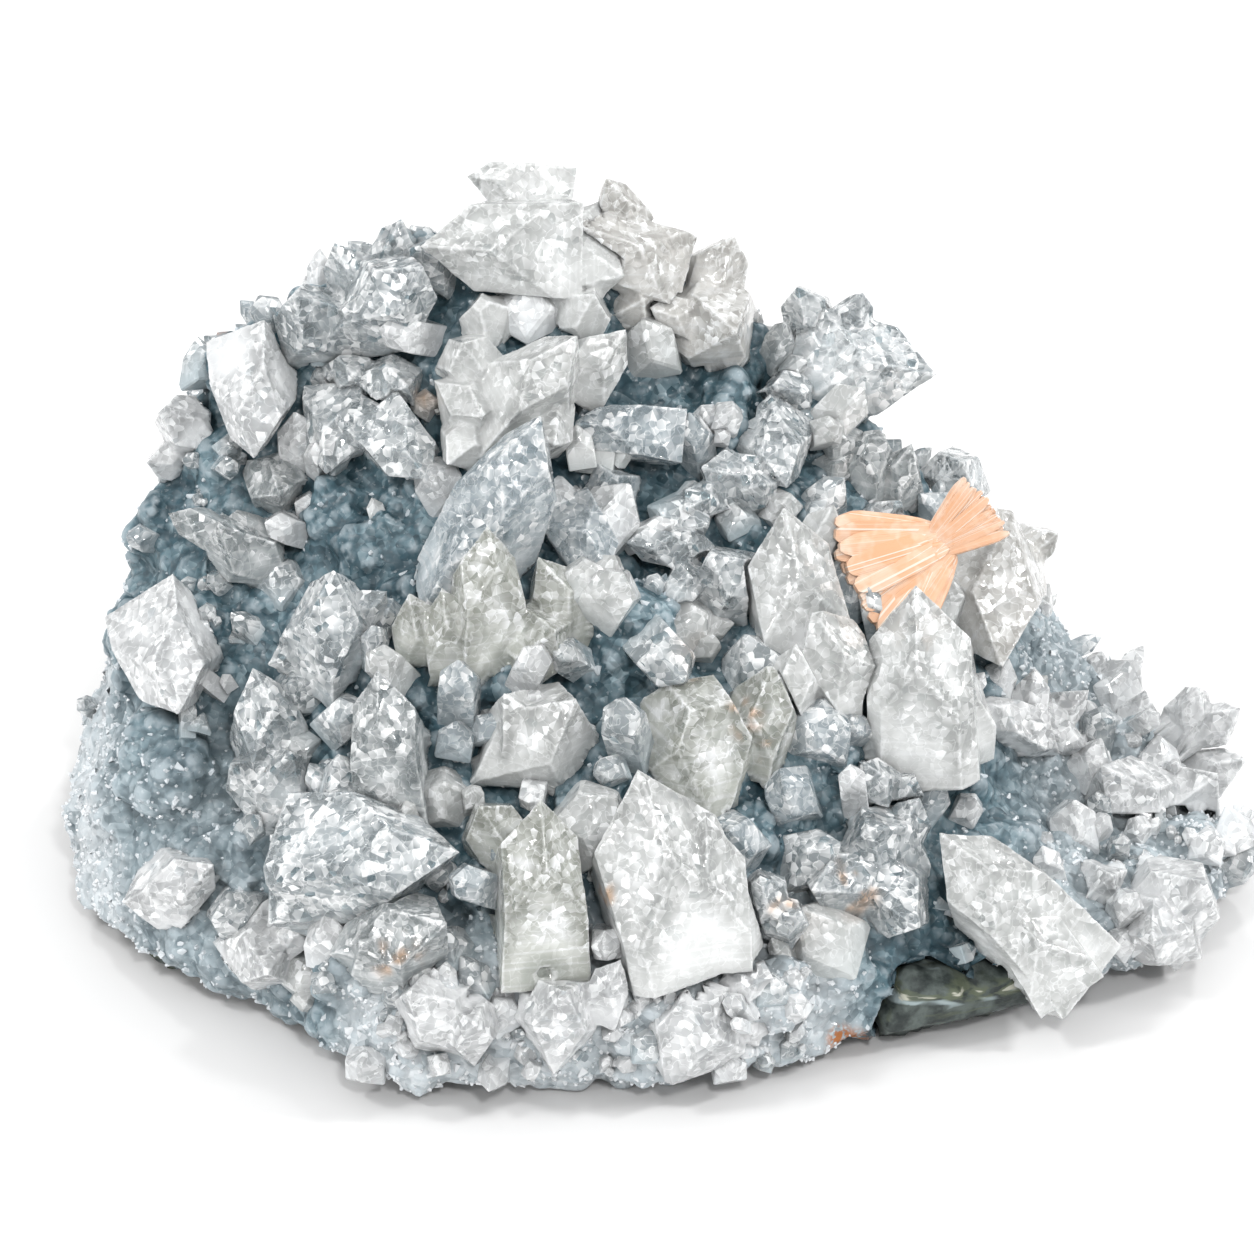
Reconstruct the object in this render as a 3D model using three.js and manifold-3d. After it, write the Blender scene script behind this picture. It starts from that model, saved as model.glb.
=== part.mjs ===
// Apophyllite and stilbite on blue-grey chalcedony, over a piece of basalt. Millimetres, +Z up.
// The specimen is a low mountain, 150 mm wide: a broken back of basalt, a sloping front lined with
// lumpy chalcedony, and on that front pointed crystals of apophyllite and three sheaves of stilbite.
import * as THREE from 'three';
import { ConvexGeometry } from 'three/addons/geometries/ConvexGeometry.js';
import { mergeVertices } from 'three/addons/utils/BufferGeometryUtils.js';
import Module from 'manifold-3d';

const wasm = await Module();
wasm.setup();

// Driving dimensions of the rock. A profile is a list of stations, each a place along x and a value there.
const HALF_WIDTH = 76;
const FOOT_INSET = 4.5; // the rock is undercut where it stands
const CRUST = 13; // depth of chalcedony over the basalt, measured straight down
const HEM = 9; // the chalcedony hangs down by this much more along the front
const HEM_START = -45; // to the left of this the basalt shows below the chalcedony
const SEAM = 0.3; // every piece keeps this far from its neighbours
const BACK_RIM = 9;
const BACK_FULLNESS = 2.4; // a larger power keeps the back high for longer before it falls to its rim
const FRONT_FULLNESS = 0.95; // the same for the front, which is nearly a straight slope
const BARE_RISE = 1.2; // behind the crest the basalt stands this much proud, so that it is bare
const BACK_RIPPLE = 4.5; // how much rougher the back's middle is than the front
const LEAST_HEIGHT = 4;
const LIFT = 1.45; // a slope moves outwards by one when it is lifted by this much
const FLOOR_DEPTH = 60; // how far the basalt's form reaches below the ground before it is cut level
const OUTLINE_SPARE = 0.6; // room between the outline that trims the basalt and the chalcedony
const SKY = 160; // above everything
const WORLD = 400; // wider than everything
const CROWDING = 1.25; // a larger power brings the cross-sections closer together at the two ends
const FRONT_RIM = [[-76, 8], [-60, 9], [-44, 7], [-37, 12], [16, 12], [25, 8], [40, 9], [60, 11], [76, 9]];
const FRONT_EDGE = [
  [-76, -2], [-73, -10], [-68.5, -22], [-58.5, -29.5], [-46, -35.5], [-38, -46], [-30.5, -50.5], [-15, -50],
  [0, -49.5], [15, -46.5], [24, -42], [42, -36.5], [54, -30.5], [67, -22], [73, -12], [76, -3],
];
const BACK_EDGE = [
  [-76, 16], [-70, 30], [-58, 40], [-38, 47], [-15, 50], [10, 48], [34, 45], [52, 39], [66, 32], [76, 15],
];
const CREST_LINE = [
  [-76, 6], [-71, 12], [-66, 18], [-58, 22], [-40, 25], [0, 27], [34, 25], [50, 21], [62, 14], [76, 6],
];
const CREST_HEIGHT = [
  [-76, 8], [-74, 12], [-70, 22], [-66, 37], [-63, 49], [-59, 59], [-53, 67], [-45, 70],
  [-38, 74], [-30, 79], [-22, 82], [-14, 82], [-5, 78], [4, 73], [12, 67], [22, 63],
  [30, 57], [37, 49], [43, 40], [48, 32], [53, 23], [58, 17], [65, 14], [76, 10],
];

// Hollows and swellings of the front in plan: centre, reach and rise.
const RELIEF = [
  { x: -35, y: 7, reach: 13, rise: -8 }, // the deep vug at the left
  { x: 3, y: 19, reach: 8, rise: -6 }, // below the crown
  { x: -2, y: 2, reach: 8, rise: -6 }, // the dark gap in the middle
  { x: 47, y: -5, reach: 9, rise: -5 }, // between the peak and the right wing
  { x: 58, y: 13, reach: 7, rise: -3 },
  { x: -22, y: -16, reach: 9, rise: -3 },
  { x: -27, y: 18, reach: 15, rise: 4 }, // the upper bank of crystals
  { x: -62, y: -8, reach: 12, rise: 4 }, // the pale shelf at the lower left
  { x: 36, y: -4, reach: 12, rise: 4 },
  { x: 10, y: -36, reach: 14, rise: 2 },
];

// Knobs of chalcedony: the loose grid that they stand in, their usual radius and the seed of their scatter.
const KNOB_GAP = 11;
const KNOB_SIZE = 5.6;
const KNOB_SEED = 11;
const KNOB_FIELD = { left: -74, right: 78, low: -50, high: 56 };
const KNOB_FLATNESS = 0.62; // knobs are lower than they are wide
const BOULDER_FLATNESS = 0.8;
const BOULDER_SUNK = 0.35; // the share of its radius by which a boulder's middle is sunk in the rock
const BARE_REACH = 11; // no knob grows this near to a block of bare basalt

// The larger blocks of chalcedony, and the flat breaks of the rock's back. A break lies along the rock's
// face over a place in plan, swung by turn about the vertical, tipped upwards by tip, and cuts deep.
const BOULDERS = [
  { x: -64, y: 4, size: 8 }, { x: -60, y: -13, size: 9 }, { x: -66, y: -11, size: 6 },
  { x: -51, y: -22, size: 8 }, { x: -38, y: -41, size: 6 }, { x: 22, y: -38, size: 6 },
  { x: 61, y: 5, size: 7 }, { x: 68, y: -9, size: 6 }, { x: 43, y: 20, size: 6 },
  { x: -27, y: -45, size: 6 }, { x: 4, y: -44, size: 6 }, { x: 14, y: -43, size: 6 },
  { x: -63, y: 15, size: 6 }, { x: 0, y: 2, size: 6 }, { x: 6, y: -42, size: 5 },
];
const BREAKS = [
  { x: -46, y: 33, turn: 14, tip: -6, deep: 2.2 }, { x: -30, y: 39, turn: 6, tip: 5, deep: 2.4 },
  { x: -15, y: 32, turn: 8, tip: -4, deep: 1.8 }, { x: -4, y: 42, turn: -6, tip: 6, deep: 2.4 },
  { x: 9, y: 32, turn: -10, tip: -5, deep: 1.8 }, { x: 21, y: 39, turn: 8, tip: 4, deep: 2.2 },
  { x: 33, y: 32, turn: -8, tip: -4, deep: 1.8 }, { x: 47, y: 31, turn: -12, tip: 5, deep: 1.8 },
  { x: -60, y: 28, turn: 6, tip: 4, deep: 1.4 }, { x: -22, y: 46, turn: -4, tip: 8, deep: 1.6 },
  { x: 12, y: 45, turn: 4, tip: 10, deep: 1.8 },
];

// Blocks of the basalt that reach out through the chalcedony at the lower right.
const OUTCROP = [
  { x: 33, y: -35.5, z: 5, size: 8 }, { x: 40, y: -33, z: 4.5, size: 8 }, { x: 36, y: -23, z: 5, size: 10 },
];

// The front is described as it is seen from before it and above it. A place there is given by how far it
// lies to the right (u) and upwards (v) of the middle of that view, in millimetres at the middle's depth.
const SIGHT_RISE = THREE.MathUtils.degToRad(33);
const SIGHT_REACH = 588;
const SIGHT_SPAN = 90; // the rock lies within this of the middle
const MIDDLE = new THREE.Vector3(-3.4, 0, 36.6);
const RIGHT = new THREE.Vector3(1, 0, 0);
const VERTICAL = new THREE.Vector3(0, 0, 1);
const UP = new THREE.Vector3(0, Math.sin(SIGHT_RISE), Math.cos(SIGHT_RISE));
const NEAR = new THREE.Vector3(0, -Math.cos(SIGHT_RISE), Math.sin(SIGHT_RISE));
const EYE = MIDDLE.clone().addScaledVector(NEAR, SIGHT_REACH);

// Apophyllite's long axis to the normal of a pyramid face, as measured on the mineral.
const PYRAMID_LEAN = THREE.MathUtils.degToRad(60.4);
const TAPER = 0.05; // the prisms narrow a little towards the tip
const BEVEL_FROM = 11.8; // crystals wider than this have their prism's corners worn off

// Each stand of apophyllite is one intergrown solid. Of each crystal: its middle in the front view, its
// width across the prism, its length, the way its tip points (right, up, towards the eye), how far its
// middle stands off the rock, and its turn about its long axis. blunt is the share of the tip that a flat
// end cuts off. A stand that comes earlier keeps its faces where two meet.
const STANDS = {
  barrel_crystal: [
    { u: 4, v: -28.6, wide: 15.5, long: 26, way: [-0.2, 0.84, 0.5], stand: 7, turn: 30 },
    { u: 9.5, v: -31.4, wide: 10.5, long: 19, way: [0.02, 0.88, 0.48], stand: 7, turn: 20 },
  ],
  tower_crystal: [
    { u: 36, v: -5.6, wide: 13, long: 25, way: [-0.06, 0.86, 0.5], stand: 7, turn: 35 },
    { u: 40, v: -9, wide: 8.6, long: 16, way: [0.1, 0.86, 0.5], stand: 5, turn: 15 },
  ],
  flat_topped_block: [
    { u: 8.8, v: -11.6, wide: 15, long: 19, way: [0.12, 0.8, 0.6], stand: 3.5, turn: 8, blunt: 0.55 },
    { u: 16.6, v: -12, wide: 9, long: 18, way: [0.16, 0.86, 0.48], stand: 3, turn: 40, blunt: 0.2 },
  ],
  boulder_crystal: [
    { u: -9.5, v: -12.5, wide: 12, long: 17, way: [0.38, 0.42, 0.82], stand: 4.5, turn: 50 },
    { u: -13, v: -12, wide: 10, long: 14, way: [-0.3, 0.55, 0.78], stand: 3, turn: 10 },
  ],
  green_barrel: [
    { u: -10.8, v: -31.5, wide: 10.5, long: 23, way: [0.02, 0.88, 0.48], stand: 5.5, turn: 25 },
    { u: -16.6, v: -25, wide: 7, long: 12, way: [-0.25, 0.5, 0.83], stand: 4.5, turn: 60 },
  ],
  reclining_crystal: [
    { u: -31, v: -28.6, wide: 12, long: 22.5, way: [0.9, 0.08, 0.42], stand: 5, turn: 20 },
    { u: -35, v: -31, wide: 10.5, long: 15, way: [0.8, 0.2, 0.56], stand: 3.5, turn: 45 },
  ],
  wing_spear: [
    { u: 46.6, v: -34.4, wide: 10.2, long: 27, way: [-0.62, 0.67, 0.41], stand: 4.5, turn: 40 },
    { u: 50.4, v: -38.4, wide: 9, long: 15, way: [-0.5, 0.72, 0.48], stand: 4, turn: 15 },
  ],
  banded_spire: [
    { u: -15, v: 16, wide: 9, long: 24, way: [0.36, 0.82, 0.44], stand: 5, turn: 30 },
    { u: -19, v: 9.5, wide: 8, long: 16, way: [0.42, 0.78, 0.46], stand: 3.5, turn: 5 },
  ],
  crown_crystals: [
    { u: -16.8, v: 47.4, wide: 11, long: 19.5, way: [-0.9, -0.05, 0.42], stand: 4, turn: 20 },
    { u: -10.5, v: 46.5, wide: 11, long: 14, way: [-0.75, 0.1, 0.65], stand: 2, turn: 60 },
    { u: -13.8, v: 55.2, wide: 5.6, long: 13.5, way: [-0.94, 0.12, 0.3], stand: 1.5, turn: 30 },
    { u: -9.4, v: 43, wide: 6, long: 10, way: [0.1, 0.6, 0.79], stand: 2, turn: 20 },
    { u: -5.3, v: 39.6, wide: 6.8, long: 10, way: [0.25, 0.3, 0.92], stand: 2.5, turn: 50 },
  ],
  pebble_crystal: [
    { u: 30.8, v: 32, wide: 11.8, long: 18, way: [0.84, -0.12, 0.53], stand: 5, turn: 50 },
    { u: 28.4, v: 39.2, wide: 5, long: 8, way: [0.25, 0.6, 0.76], stand: 1.5, turn: 70 },
  ],
  shoulder_crystal: [
    { u: 11.4, v: 37.3, wide: 11.5, long: 15, way: [0.28, -0.16, 0.95], stand: 4, turn: 35 },
    { u: 6, v: 38.8, wide: 5, long: 9, way: [-0.75, 0.15, 0.64], stand: 4, turn: 10 },
    { u: 12, v: 45.5, wide: 7, long: 10, way: [0.3, 0.6, 0.74], stand: 2, turn: 50 },
  ],
  rose_block: [
    { u: 44.8, v: 2, wide: 12.5, long: 20, way: [0.12, -0.72, 0.68], stand: 5, turn: 25 },
    { u: 48.5, v: 6, wide: 9, long: 14, way: [0.35, -0.3, 0.89], stand: 4, turn: 55 },
    { u: 51.2, v: 10.5, wide: 5, long: 8, way: [0.6, 0.3, 0.74], stand: 3, turn: 15 },
  ],
  tent_crystals: [
    { u: 20.6, v: 4.4, wide: 11, long: 24, way: [-0.12, 0.87, 0.48], stand: 4.5, turn: 45 },
    { u: 24.4, v: 11.4, wide: 5.4, long: 11, way: [0.2, 0.7, 0.68], stand: 3, turn: 10 },
    { u: 25.6, v: -3.5, wide: 8.5, long: 16, way: [-0.36, 0.74, 0.57], stand: 4.5, turn: 20, blunt: 0.3 },
    { u: 20.5, v: -7.5, wide: 6, long: 13, way: [0.06, 0.84, 0.54], stand: 3.5, turn: 50 },
  ],
  bank_outer: [
    { u: -39.3, v: 38.2, wide: 8.5, long: 15, way: [-0.24, 0.34, 0.91], stand: 4, turn: 20 },
    { u: -28.6, v: 41, wide: 9, long: 18, way: [0.42, 0.36, 0.83], stand: 4, turn: 45 },
    { u: -33, v: 38.6, wide: 6.5, long: 11, way: [-0.4, 0.1, 0.91], stand: 3, turn: 5 },
    { u: -34.6, v: 44.2, wide: 6, long: 11, way: [-0.3, 0.62, 0.72], stand: 2.5, turn: 60 },
    { u: -29, v: 47.2, wide: 5, long: 10, way: [0.2, 0.7, 0.68], stand: 1.5, turn: 15 },
  ],
  bank_hanging: [
    { u: -46.4, v: 27.8, wide: 8, long: 17, way: [0.05, -0.84, 0.54], stand: 4, turn: 30 },
  ],
  bank_lower: [
    { u: -36.2, v: 23.3, wide: 7.5, long: 12.5, way: [-0.16, -0.74, 0.65], stand: 4.5, turn: 15 },
    { u: -32, v: 25, wide: 6.5, long: 11, way: [0.34, -0.1, 0.93], stand: 4.5, turn: 50 },
    { u: -27.4, v: 21.6, wide: 7, long: 12, way: [0.54, -0.6, 0.59], stand: 4, turn: 30 },
  ],
  bank_middle: [
    { u: -34.2, v: 31.5, wide: 5.8, long: 9, way: [0.1, -0.1, 0.99], stand: 2.5, turn: 40 },
    { u: -28.6, v: 30.2, wide: 6.6, long: 10, way: [0.3, -0.1, 0.95], stand: 2.5, turn: 25 },
  ],
  striated_crystals: [
    { u: -11.4, v: 30.2, wide: 9, long: 19, way: [0.56, 0.6, 0.57], stand: 4, turn: 45 },
    { u: -3.2, v: 33.6, wide: 6.4, long: 11, way: [0.58, 0.6, 0.55], stand: 3.5, turn: 10 },
    { u: -10, v: 24.4, wide: 6.6, long: 13, way: [0.2, -0.3, 0.93], stand: 3.5, turn: 70 },
    { u: -17.6, v: 39, wide: 7.5, long: 9, way: [-0.2, 0.34, 0.92], stand: 2, turn: 20, blunt: 0.3 },
    { u: -19.6, v: 33.6, wide: 6.8, long: 10, way: [-0.15, 0.3, 0.94], stand: 3.5, turn: 55 },
    { u: -19.2, v: 27.3, wide: 6, long: 9, way: [0.3, -0.3, 0.9], stand: 3, turn: 5 },
    { u: -20.5, v: 22.6, wide: 5.6, long: 10, way: [-0.35, -0.5, 0.79], stand: 3, turn: 35 },
  ],
  crown_right: [
    { u: -1.6, v: 46.8, wide: 10, long: 16, way: [-0.62, 0.36, 0.7], stand: 3.5, turn: 30 },
    { u: 3.2, v: 45.4, wide: 9, long: 13, way: [0.2, 0.3, 0.93], stand: 2, turn: 60 },
    { u: -1.4, v: 53.2, wide: 5.2, long: 8, way: [-0.3, 0.7, 0.65], stand: 0.5, turn: 15 },
    { u: 0.6, v: 39.6, wide: 6.6, long: 10, way: [0.3, 0.2, 0.93], stand: 2, turn: 10 },
  ],
  pointing_crystal: [
    { u: -0.6, v: 24.4, wide: 6.2, long: 14, way: [-0.9, 0.12, 0.42], stand: 3.5, turn: 35 },
  ],
  blue_heart: [
    { u: -2.6, v: 16.8, wide: 10, long: 13, way: [0.2, 0.3, 0.93], stand: 2, turn: 15 },
    { u: -4.6, v: 10, wide: 7, long: 12, way: [0.4, -0.5, 0.77], stand: 2.5, turn: 20 },
  ],
  middle_cluster: [
    { u: 12.1, v: 18.8, wide: 6.6, long: 10, way: [-0.62, 0.2, 0.76], stand: 3, turn: 20 },
    { u: 19, v: 21.2, wide: 7.2, long: 12, way: [0.12, -0.7, 0.7], stand: 3.5, turn: 50 },
    { u: 16, v: 17.2, wide: 5.4, long: 9, way: [0.2, 0.1, 0.97], stand: 2.5, turn: 5 },
    { u: 8.6, v: 15.4, wide: 4.8, long: 8, way: [-0.4, -0.2, 0.89], stand: 2.5, turn: 35 },
  ],
  ridge_crystal: [
    { u: 22, v: 40, wide: 6, long: 9, way: [-0.2, 0.5, 0.84], stand: 1.5, turn: 25 },
  ],
  under_pebble: [
    { u: 19.6, v: 29, wide: 6.6, long: 10, way: [-0.34, 0.2, 0.92], stand: 2, turn: 10 },
  ],
  grey_pillars: [
    { u: 30.4, v: 20.4, wide: 5.6, long: 12, way: [0.06, 0.86, 0.5], stand: 3, turn: 20, blunt: 0.5 },
    { u: 34.2, v: 19, wide: 4.8, long: 10, way: [0.24, 0.8, 0.55], stand: 2.5, turn: 50 },
    { u: 26.2, v: 22.8, wide: 5.2, long: 9, way: [-0.2, 0.3, 0.93], stand: 2.5, turn: 5 },
  ],
  right_edge_round: [
    { u: 41, v: 19, wide: 7.6, long: 10, way: [0.14, 0.3, 0.94], stand: 2, turn: 30 },
  ],
  grey_blades: [
    { u: 32, v: 13.6, wide: 4.8, long: 9, way: [0.5, 0.5, 0.71], stand: 2.5, turn: 15, blunt: 0.3 },
  ],
  star_cluster: [
    { u: 50.6, v: -13.2, wide: 5.4, long: 13, way: [-0.1, 0.2, 0.97], stand: 2.5, turn: 20 },
    { u: 47, v: -11.4, wide: 4.6, long: 11, way: [-0.74, 0.4, 0.54], stand: 3, turn: 50 },
    { u: 53.8, v: -10.6, wide: 4.6, long: 11, way: [0.66, 0.55, 0.51], stand: 3, turn: 5 },
    { u: 50.4, v: -9.4, wide: 4.6, long: 11, way: [0.02, 0.85, 0.53], stand: 3, turn: 35 },
  ],
  wing_white: [
    { u: 61.6, v: -20.6, wide: 10.5, long: 15, way: [-0.46, 0.5, 0.73], stand: 4, turn: 30 },
    { u: 70.6, v: -20.4, wide: 8.8, long: 12, way: [0.4, 0.4, 0.82], stand: 3, turn: 10 },
    { u: 74, v: -17.6, wide: 5.4, long: 9, way: [0.7, 0.3, 0.65], stand: 1.5, turn: 45 },
  ],
  wing_points: [
    { u: 63.6, v: -11.4, wide: 5.8, long: 10, way: [0.12, 0.78, 0.61], stand: 2.5, turn: 20 },
    { u: 59.6, v: -13, wide: 5.2, long: 9, way: [-0.4, 0.6, 0.69], stand: 2.5, turn: 50 },
  ],
  wing_druse: [
    { u: 70.6, v: -9.6, wide: 5, long: 8, way: [0.1, 0.6, 0.79], stand: 1.5, turn: 15 },
    { u: 74, v: -11.6, wide: 4.8, long: 8, way: [0.6, 0.4, 0.69], stand: 1, turn: 45 },
  ],
  wing_round: [
    { u: 59.4, v: -32.2, wide: 7.6, long: 10, way: [0.12, 0.3, 0.95], stand: 2.5, turn: 25 },
  ],
  wing_mass: [
    { u: 69, v: -33.4, wide: 10.5, long: 15, way: [0.3, 0.3, 0.9], stand: 3, turn: 40 },
    { u: 65.8, v: -37.6, wide: 8.8, long: 13, way: [-0.2, -0.1, 0.97], stand: 2.5, turn: 10 },
  ],
  lower_right_cluster: [
    { u: 30.8, v: -27, wide: 10, long: 15, way: [-0.16, 0.3, 0.94], stand: 4, turn: 30 },
    { u: 25.6, v: -31.8, wide: 8.6, long: 12, way: [-0.5, -0.1, 0.86], stand: 4, turn: 5 },
    { u: 33.8, v: -34.6, wide: 8.4, long: 13, way: [0.3, -0.36, 0.88], stand: 4, turn: 55 },
    { u: 35, v: -24.2, wide: 5.6, long: 10, way: [0.24, 0.66, 0.71], stand: 3.5, turn: 20 },
  ],
  tower_foot: [
    { u: 30.6, v: -19, wide: 5, long: 9, way: [-0.3, 0.5, 0.81], stand: 3, turn: 10 },
    { u: 34.4, v: -20.4, wide: 4.8, long: 9, way: [0.3, 0.4, 0.87], stand: 3, turn: 40 },
  ],
  olive_spires: [
    { u: -17.6, v: 2.4, wide: 8, long: 22, way: [0.04, 0.9, 0.43], stand: 5, turn: 40 },
    { u: -21.4, v: -1.6, wide: 6.4, long: 15, way: [-0.2, 0.84, 0.5], stand: 4, turn: 10 },
    { u: -25.4, v: -0.6, wide: 7, long: 13, way: [-0.24, 0.74, 0.63], stand: 3.5, turn: 60 },
    { u: -10.4, v: -1.6, wide: 9, long: 13, way: [0.24, 0.16, 0.96], stand: 4, turn: 20 },
    { u: -8.8, v: 4.2, wide: 7, long: 12, way: [-0.36, 0.74, 0.57], stand: 3.5, turn: 35 },
  ],
  middle_stars: [
    { u: 5.4, v: 10.2, wide: 5, long: 12.5, way: [-0.92, 0.04, 0.38], stand: 4, turn: 15, twoEnded: true },
    { u: 12, v: 6.4, wide: 8, long: 12, way: [-0.34, 0.46, 0.82], stand: 4, turn: 45 },
    { u: 6.8, v: 4.8, wide: 4.6, long: 8, way: [-0.3, -0.3, 0.9], stand: 3.5, turn: 60 },
  ],
  leaf_crystal: [
    { u: -29.6, v: -14.4, wide: 8, long: 20, way: [-0.1, 0.89, 0.44], stand: 4.5, turn: 42 },
  ],
  striped_crystal: [
    { u: -36.6, v: 0.8, wide: 9, long: 17, way: [0.06, 0.72, 0.69], stand: 4, turn: 30 },
    { u: -32, v: 2.6, wide: 4.2, long: 8, way: [0.6, 0.5, 0.62], stand: 3, turn: 5 },
    { u: -40.8, v: -3.6, wide: 4.6, long: 10, way: [-0.76, -0.2, 0.62], stand: 3, turn: 45 },
  ],
  left_round: [
    { u: -48.4, v: 10.4, wide: 9.4, long: 13, way: [-0.3, 0.34, 0.89], stand: 3, turn: 20 },
    { u: -53, v: 12.6, wide: 4.2, long: 10, way: [-0.8, 0.3, 0.52], stand: 3, turn: 5 },
  ],
  vug_roof: [
    { u: -43.6, v: 17.4, wide: 7.2, long: 11, way: [0.1, -0.2, 0.97], stand: 2.5, turn: 15 },
  ],
  left_edge_crystal: [
    { u: -55.4, v: 25.4, wide: 7, long: 11, way: [-0.46, 0.2, 0.86], stand: 2.5, turn: 25 },
    { u: -57.4, v: 20.8, wide: 4.8, long: 8, way: [-0.6, -0.1, 0.79], stand: 2, turn: 5 },
  ],
  white_boulder: [
    { u: -56.6, v: -4.8, wide: 9.8, long: 18, way: [0.16, -0.66, 0.73], stand: 4.5, turn: 35 },
  ],
  left_points: [
    { u: -44.8, v: -11.4, wide: 7.6, long: 15, way: [-0.18, 0.85, 0.5], stand: 4, turn: 40 },
    { u: -42.2, v: -18.6, wide: 8.4, long: 13, way: [0.16, 0.5, 0.85], stand: 4, turn: 10 },
    { u: -46.8, v: -19, wide: 6.4, long: 11, way: [-0.4, 0.4, 0.82], stand: 3.5, turn: 65 },
  ],
  shelf_striped: [
    { u: -55, v: -31.6, wide: 7.4, long: 13, way: [0.62, 0.36, 0.7], stand: 2.5, turn: 20 },
  ],
  lower_left_white: [
    { u: -44.8, v: -41, wide: 8.4, long: 13, way: [0.1, -0.24, 0.97], stand: 4, turn: 40 },
    { u: -41, v: -38, wide: 4.4, long: 8, way: [0.5, 0.3, 0.81], stand: 3, turn: 5 },
  ],
  streaked_crystal: [
    { u: -26.4, v: -38, wide: 9.8, long: 15, way: [0.56, 0.2, 0.8], stand: 4, turn: 30 },
    { u: -31, v: -40.4, wide: 8, long: 12, way: [-0.3, 0.2, 0.93], stand: 3.5, turn: 60 },
  ],
  lip_left: [
    { u: -24.6, v: -47, wide: 8.4, long: 13, way: [-0.4, 0.3, 0.87], stand: 2.5, turn: 20 },
    { u: -19.4, v: -49.4, wide: 7, long: 11, way: [0.1, 0.1, 0.99], stand: 2, turn: 50 },
  ],
  lip_middle: [
    { u: -8.4, v: -47.2, wide: 9, long: 13, way: [0.1, 0.36, 0.93], stand: 2.5, turn: 35 },
    { u: -2.2, v: -44.4, wide: 5, long: 9, way: [0.3, 0.7, 0.65], stand: 2.5, turn: 15 },
  ],
  lip_right: [
    { u: 9, v: -47.4, wide: 11, long: 13, way: [0.1, 0.6, 0.79], stand: 1, turn: 10, blunt: 0.6 },
    { u: 15.6, v: -44.6, wide: 8, long: 11, way: [0.3, 0.5, 0.81], stand: 1, turn: 40, blunt: 0.4 },
  ],
  stained_cluster: [
    { u: 17, v: -33.4, wide: 6, long: 11, way: [-0.1, 0.5, 0.86], stand: 3.5, turn: 20 },
    { u: 20, v: -36.4, wide: 5, long: 9, way: [0.4, 0.1, 0.91], stand: 3.5, turn: 55 },
  ],
};

// Sheaves of stilbite. Blades spring from a waist and fan out between two bearings, which are measured
// in the front view from the right, anticlockwise, in degrees.
const SHEAVES = {
  stilbite_fan: {
    u: 37.6, v: 9.6, stand: 6, from: 174, to: 246, near: 0.34, long: 14, wide: 7, blades: 7,
  },
  stilbite_brush: {
    u: 38.4, v: 10.4, stand: 6, from: 18, to: 62, near: 0.3, long: 10, wide: 5, blades: 5,
  },
  stilbite_sliver: {
    u: -2.4, v: 0.2, stand: 5.5, from: 312, to: 336, near: 0.16, long: 12, wide: 5, blades: 3,
  },
};

// A repeatable stream of numbers from 0 to 1.
function stream(seed) {
  let state = seed * 2654435761 >>> 0;
  return () => {
    state = state + 0x6d2b79f5 >>> 0;
    let t = Math.imul(state ^ state >>> 15, 1 | state);
    t = t + Math.imul(t ^ t >>> 7, 61 | t) ^ t;
    return ((t ^ t >>> 14) >>> 0) / 4294967296;
  };
}

// The value of a profile at x, in a straight line between its stations.
function along(profile, x) {
  const next = profile.findIndex(([station]) => station >= x);
  if (next === 0) return profile[0][1];
  if (next < 0) return profile[profile.length - 1][1];
  const [x0, a] = profile[next - 1];
  const [x1, b] = profile[next];
  return THREE.MathUtils.lerp(a, b, (x - x0) / (x1 - x0));
}

// The rock's own unevenness, in millimetres.
function ripple(x, y) {
  return 1.3 * Math.sin(x * 0.31 + 1.7 * Math.sin(y * 0.17)) * Math.cos(y * 0.27 - 0.6)
    + 0.9 * Math.sin(x * 0.13 - y * 0.41 + 2);
}

// Height of the rock over a place in plan.
function heightAt(x, y) {
  const ridge = along(CREST_LINE, x);
  const crest = along(CREST_HEIGHT, x);
  if (y >= ridge) {
    const back = along(BACK_EDGE, x);
    const t = THREE.MathUtils.clamp((y - ridge) / (back - ridge), 0, 1);
    const rim = Math.min(BACK_RIM, crest * 0.7);
    return rim + (crest - rim) * (1 - t ** BACK_FULLNESS) + BACK_RIPPLE * ripple(x, y) * t * (1 - t);
  }
  const front = along(FRONT_EDGE, x);
  const t = THREE.MathUtils.clamp((y - front) / (ridge - front), 0, 1);
  const rim = Math.min(along(FRONT_RIM, x), crest);
  const relief = RELIEF.reduce(
    (sum, r) => sum + r.rise * Math.exp(-((x - r.x) ** 2 + (y - r.y) ** 2) / r.reach ** 2), 0);
  const settle = Math.min(1, t * 4) * Math.min(1, (1 - t) * 5 + 0.2);
  const slope = rim + (crest - rim) * t ** FRONT_FULLNESS;
  return Math.max(LEAST_HEIGHT, slope + settle * (relief + ripple(x, y)));
}

// Height of the basalt under the chalcedony. It is bare behind the crest.
function basaltAt(x, y) {
  const behind = THREE.MathUtils.smoothstep(y - along(CREST_LINE, x), 5, 12);
  const hem = HEM * (1 - THREE.MathUtils.smoothstep(y - along(FRONT_EDGE, x), 3, 16));
  return heightAt(x, y) - THREE.MathUtils.lerp(CRUST + (x > HEM_START ? hem : 0), -BARE_RISE, behind);
}

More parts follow.
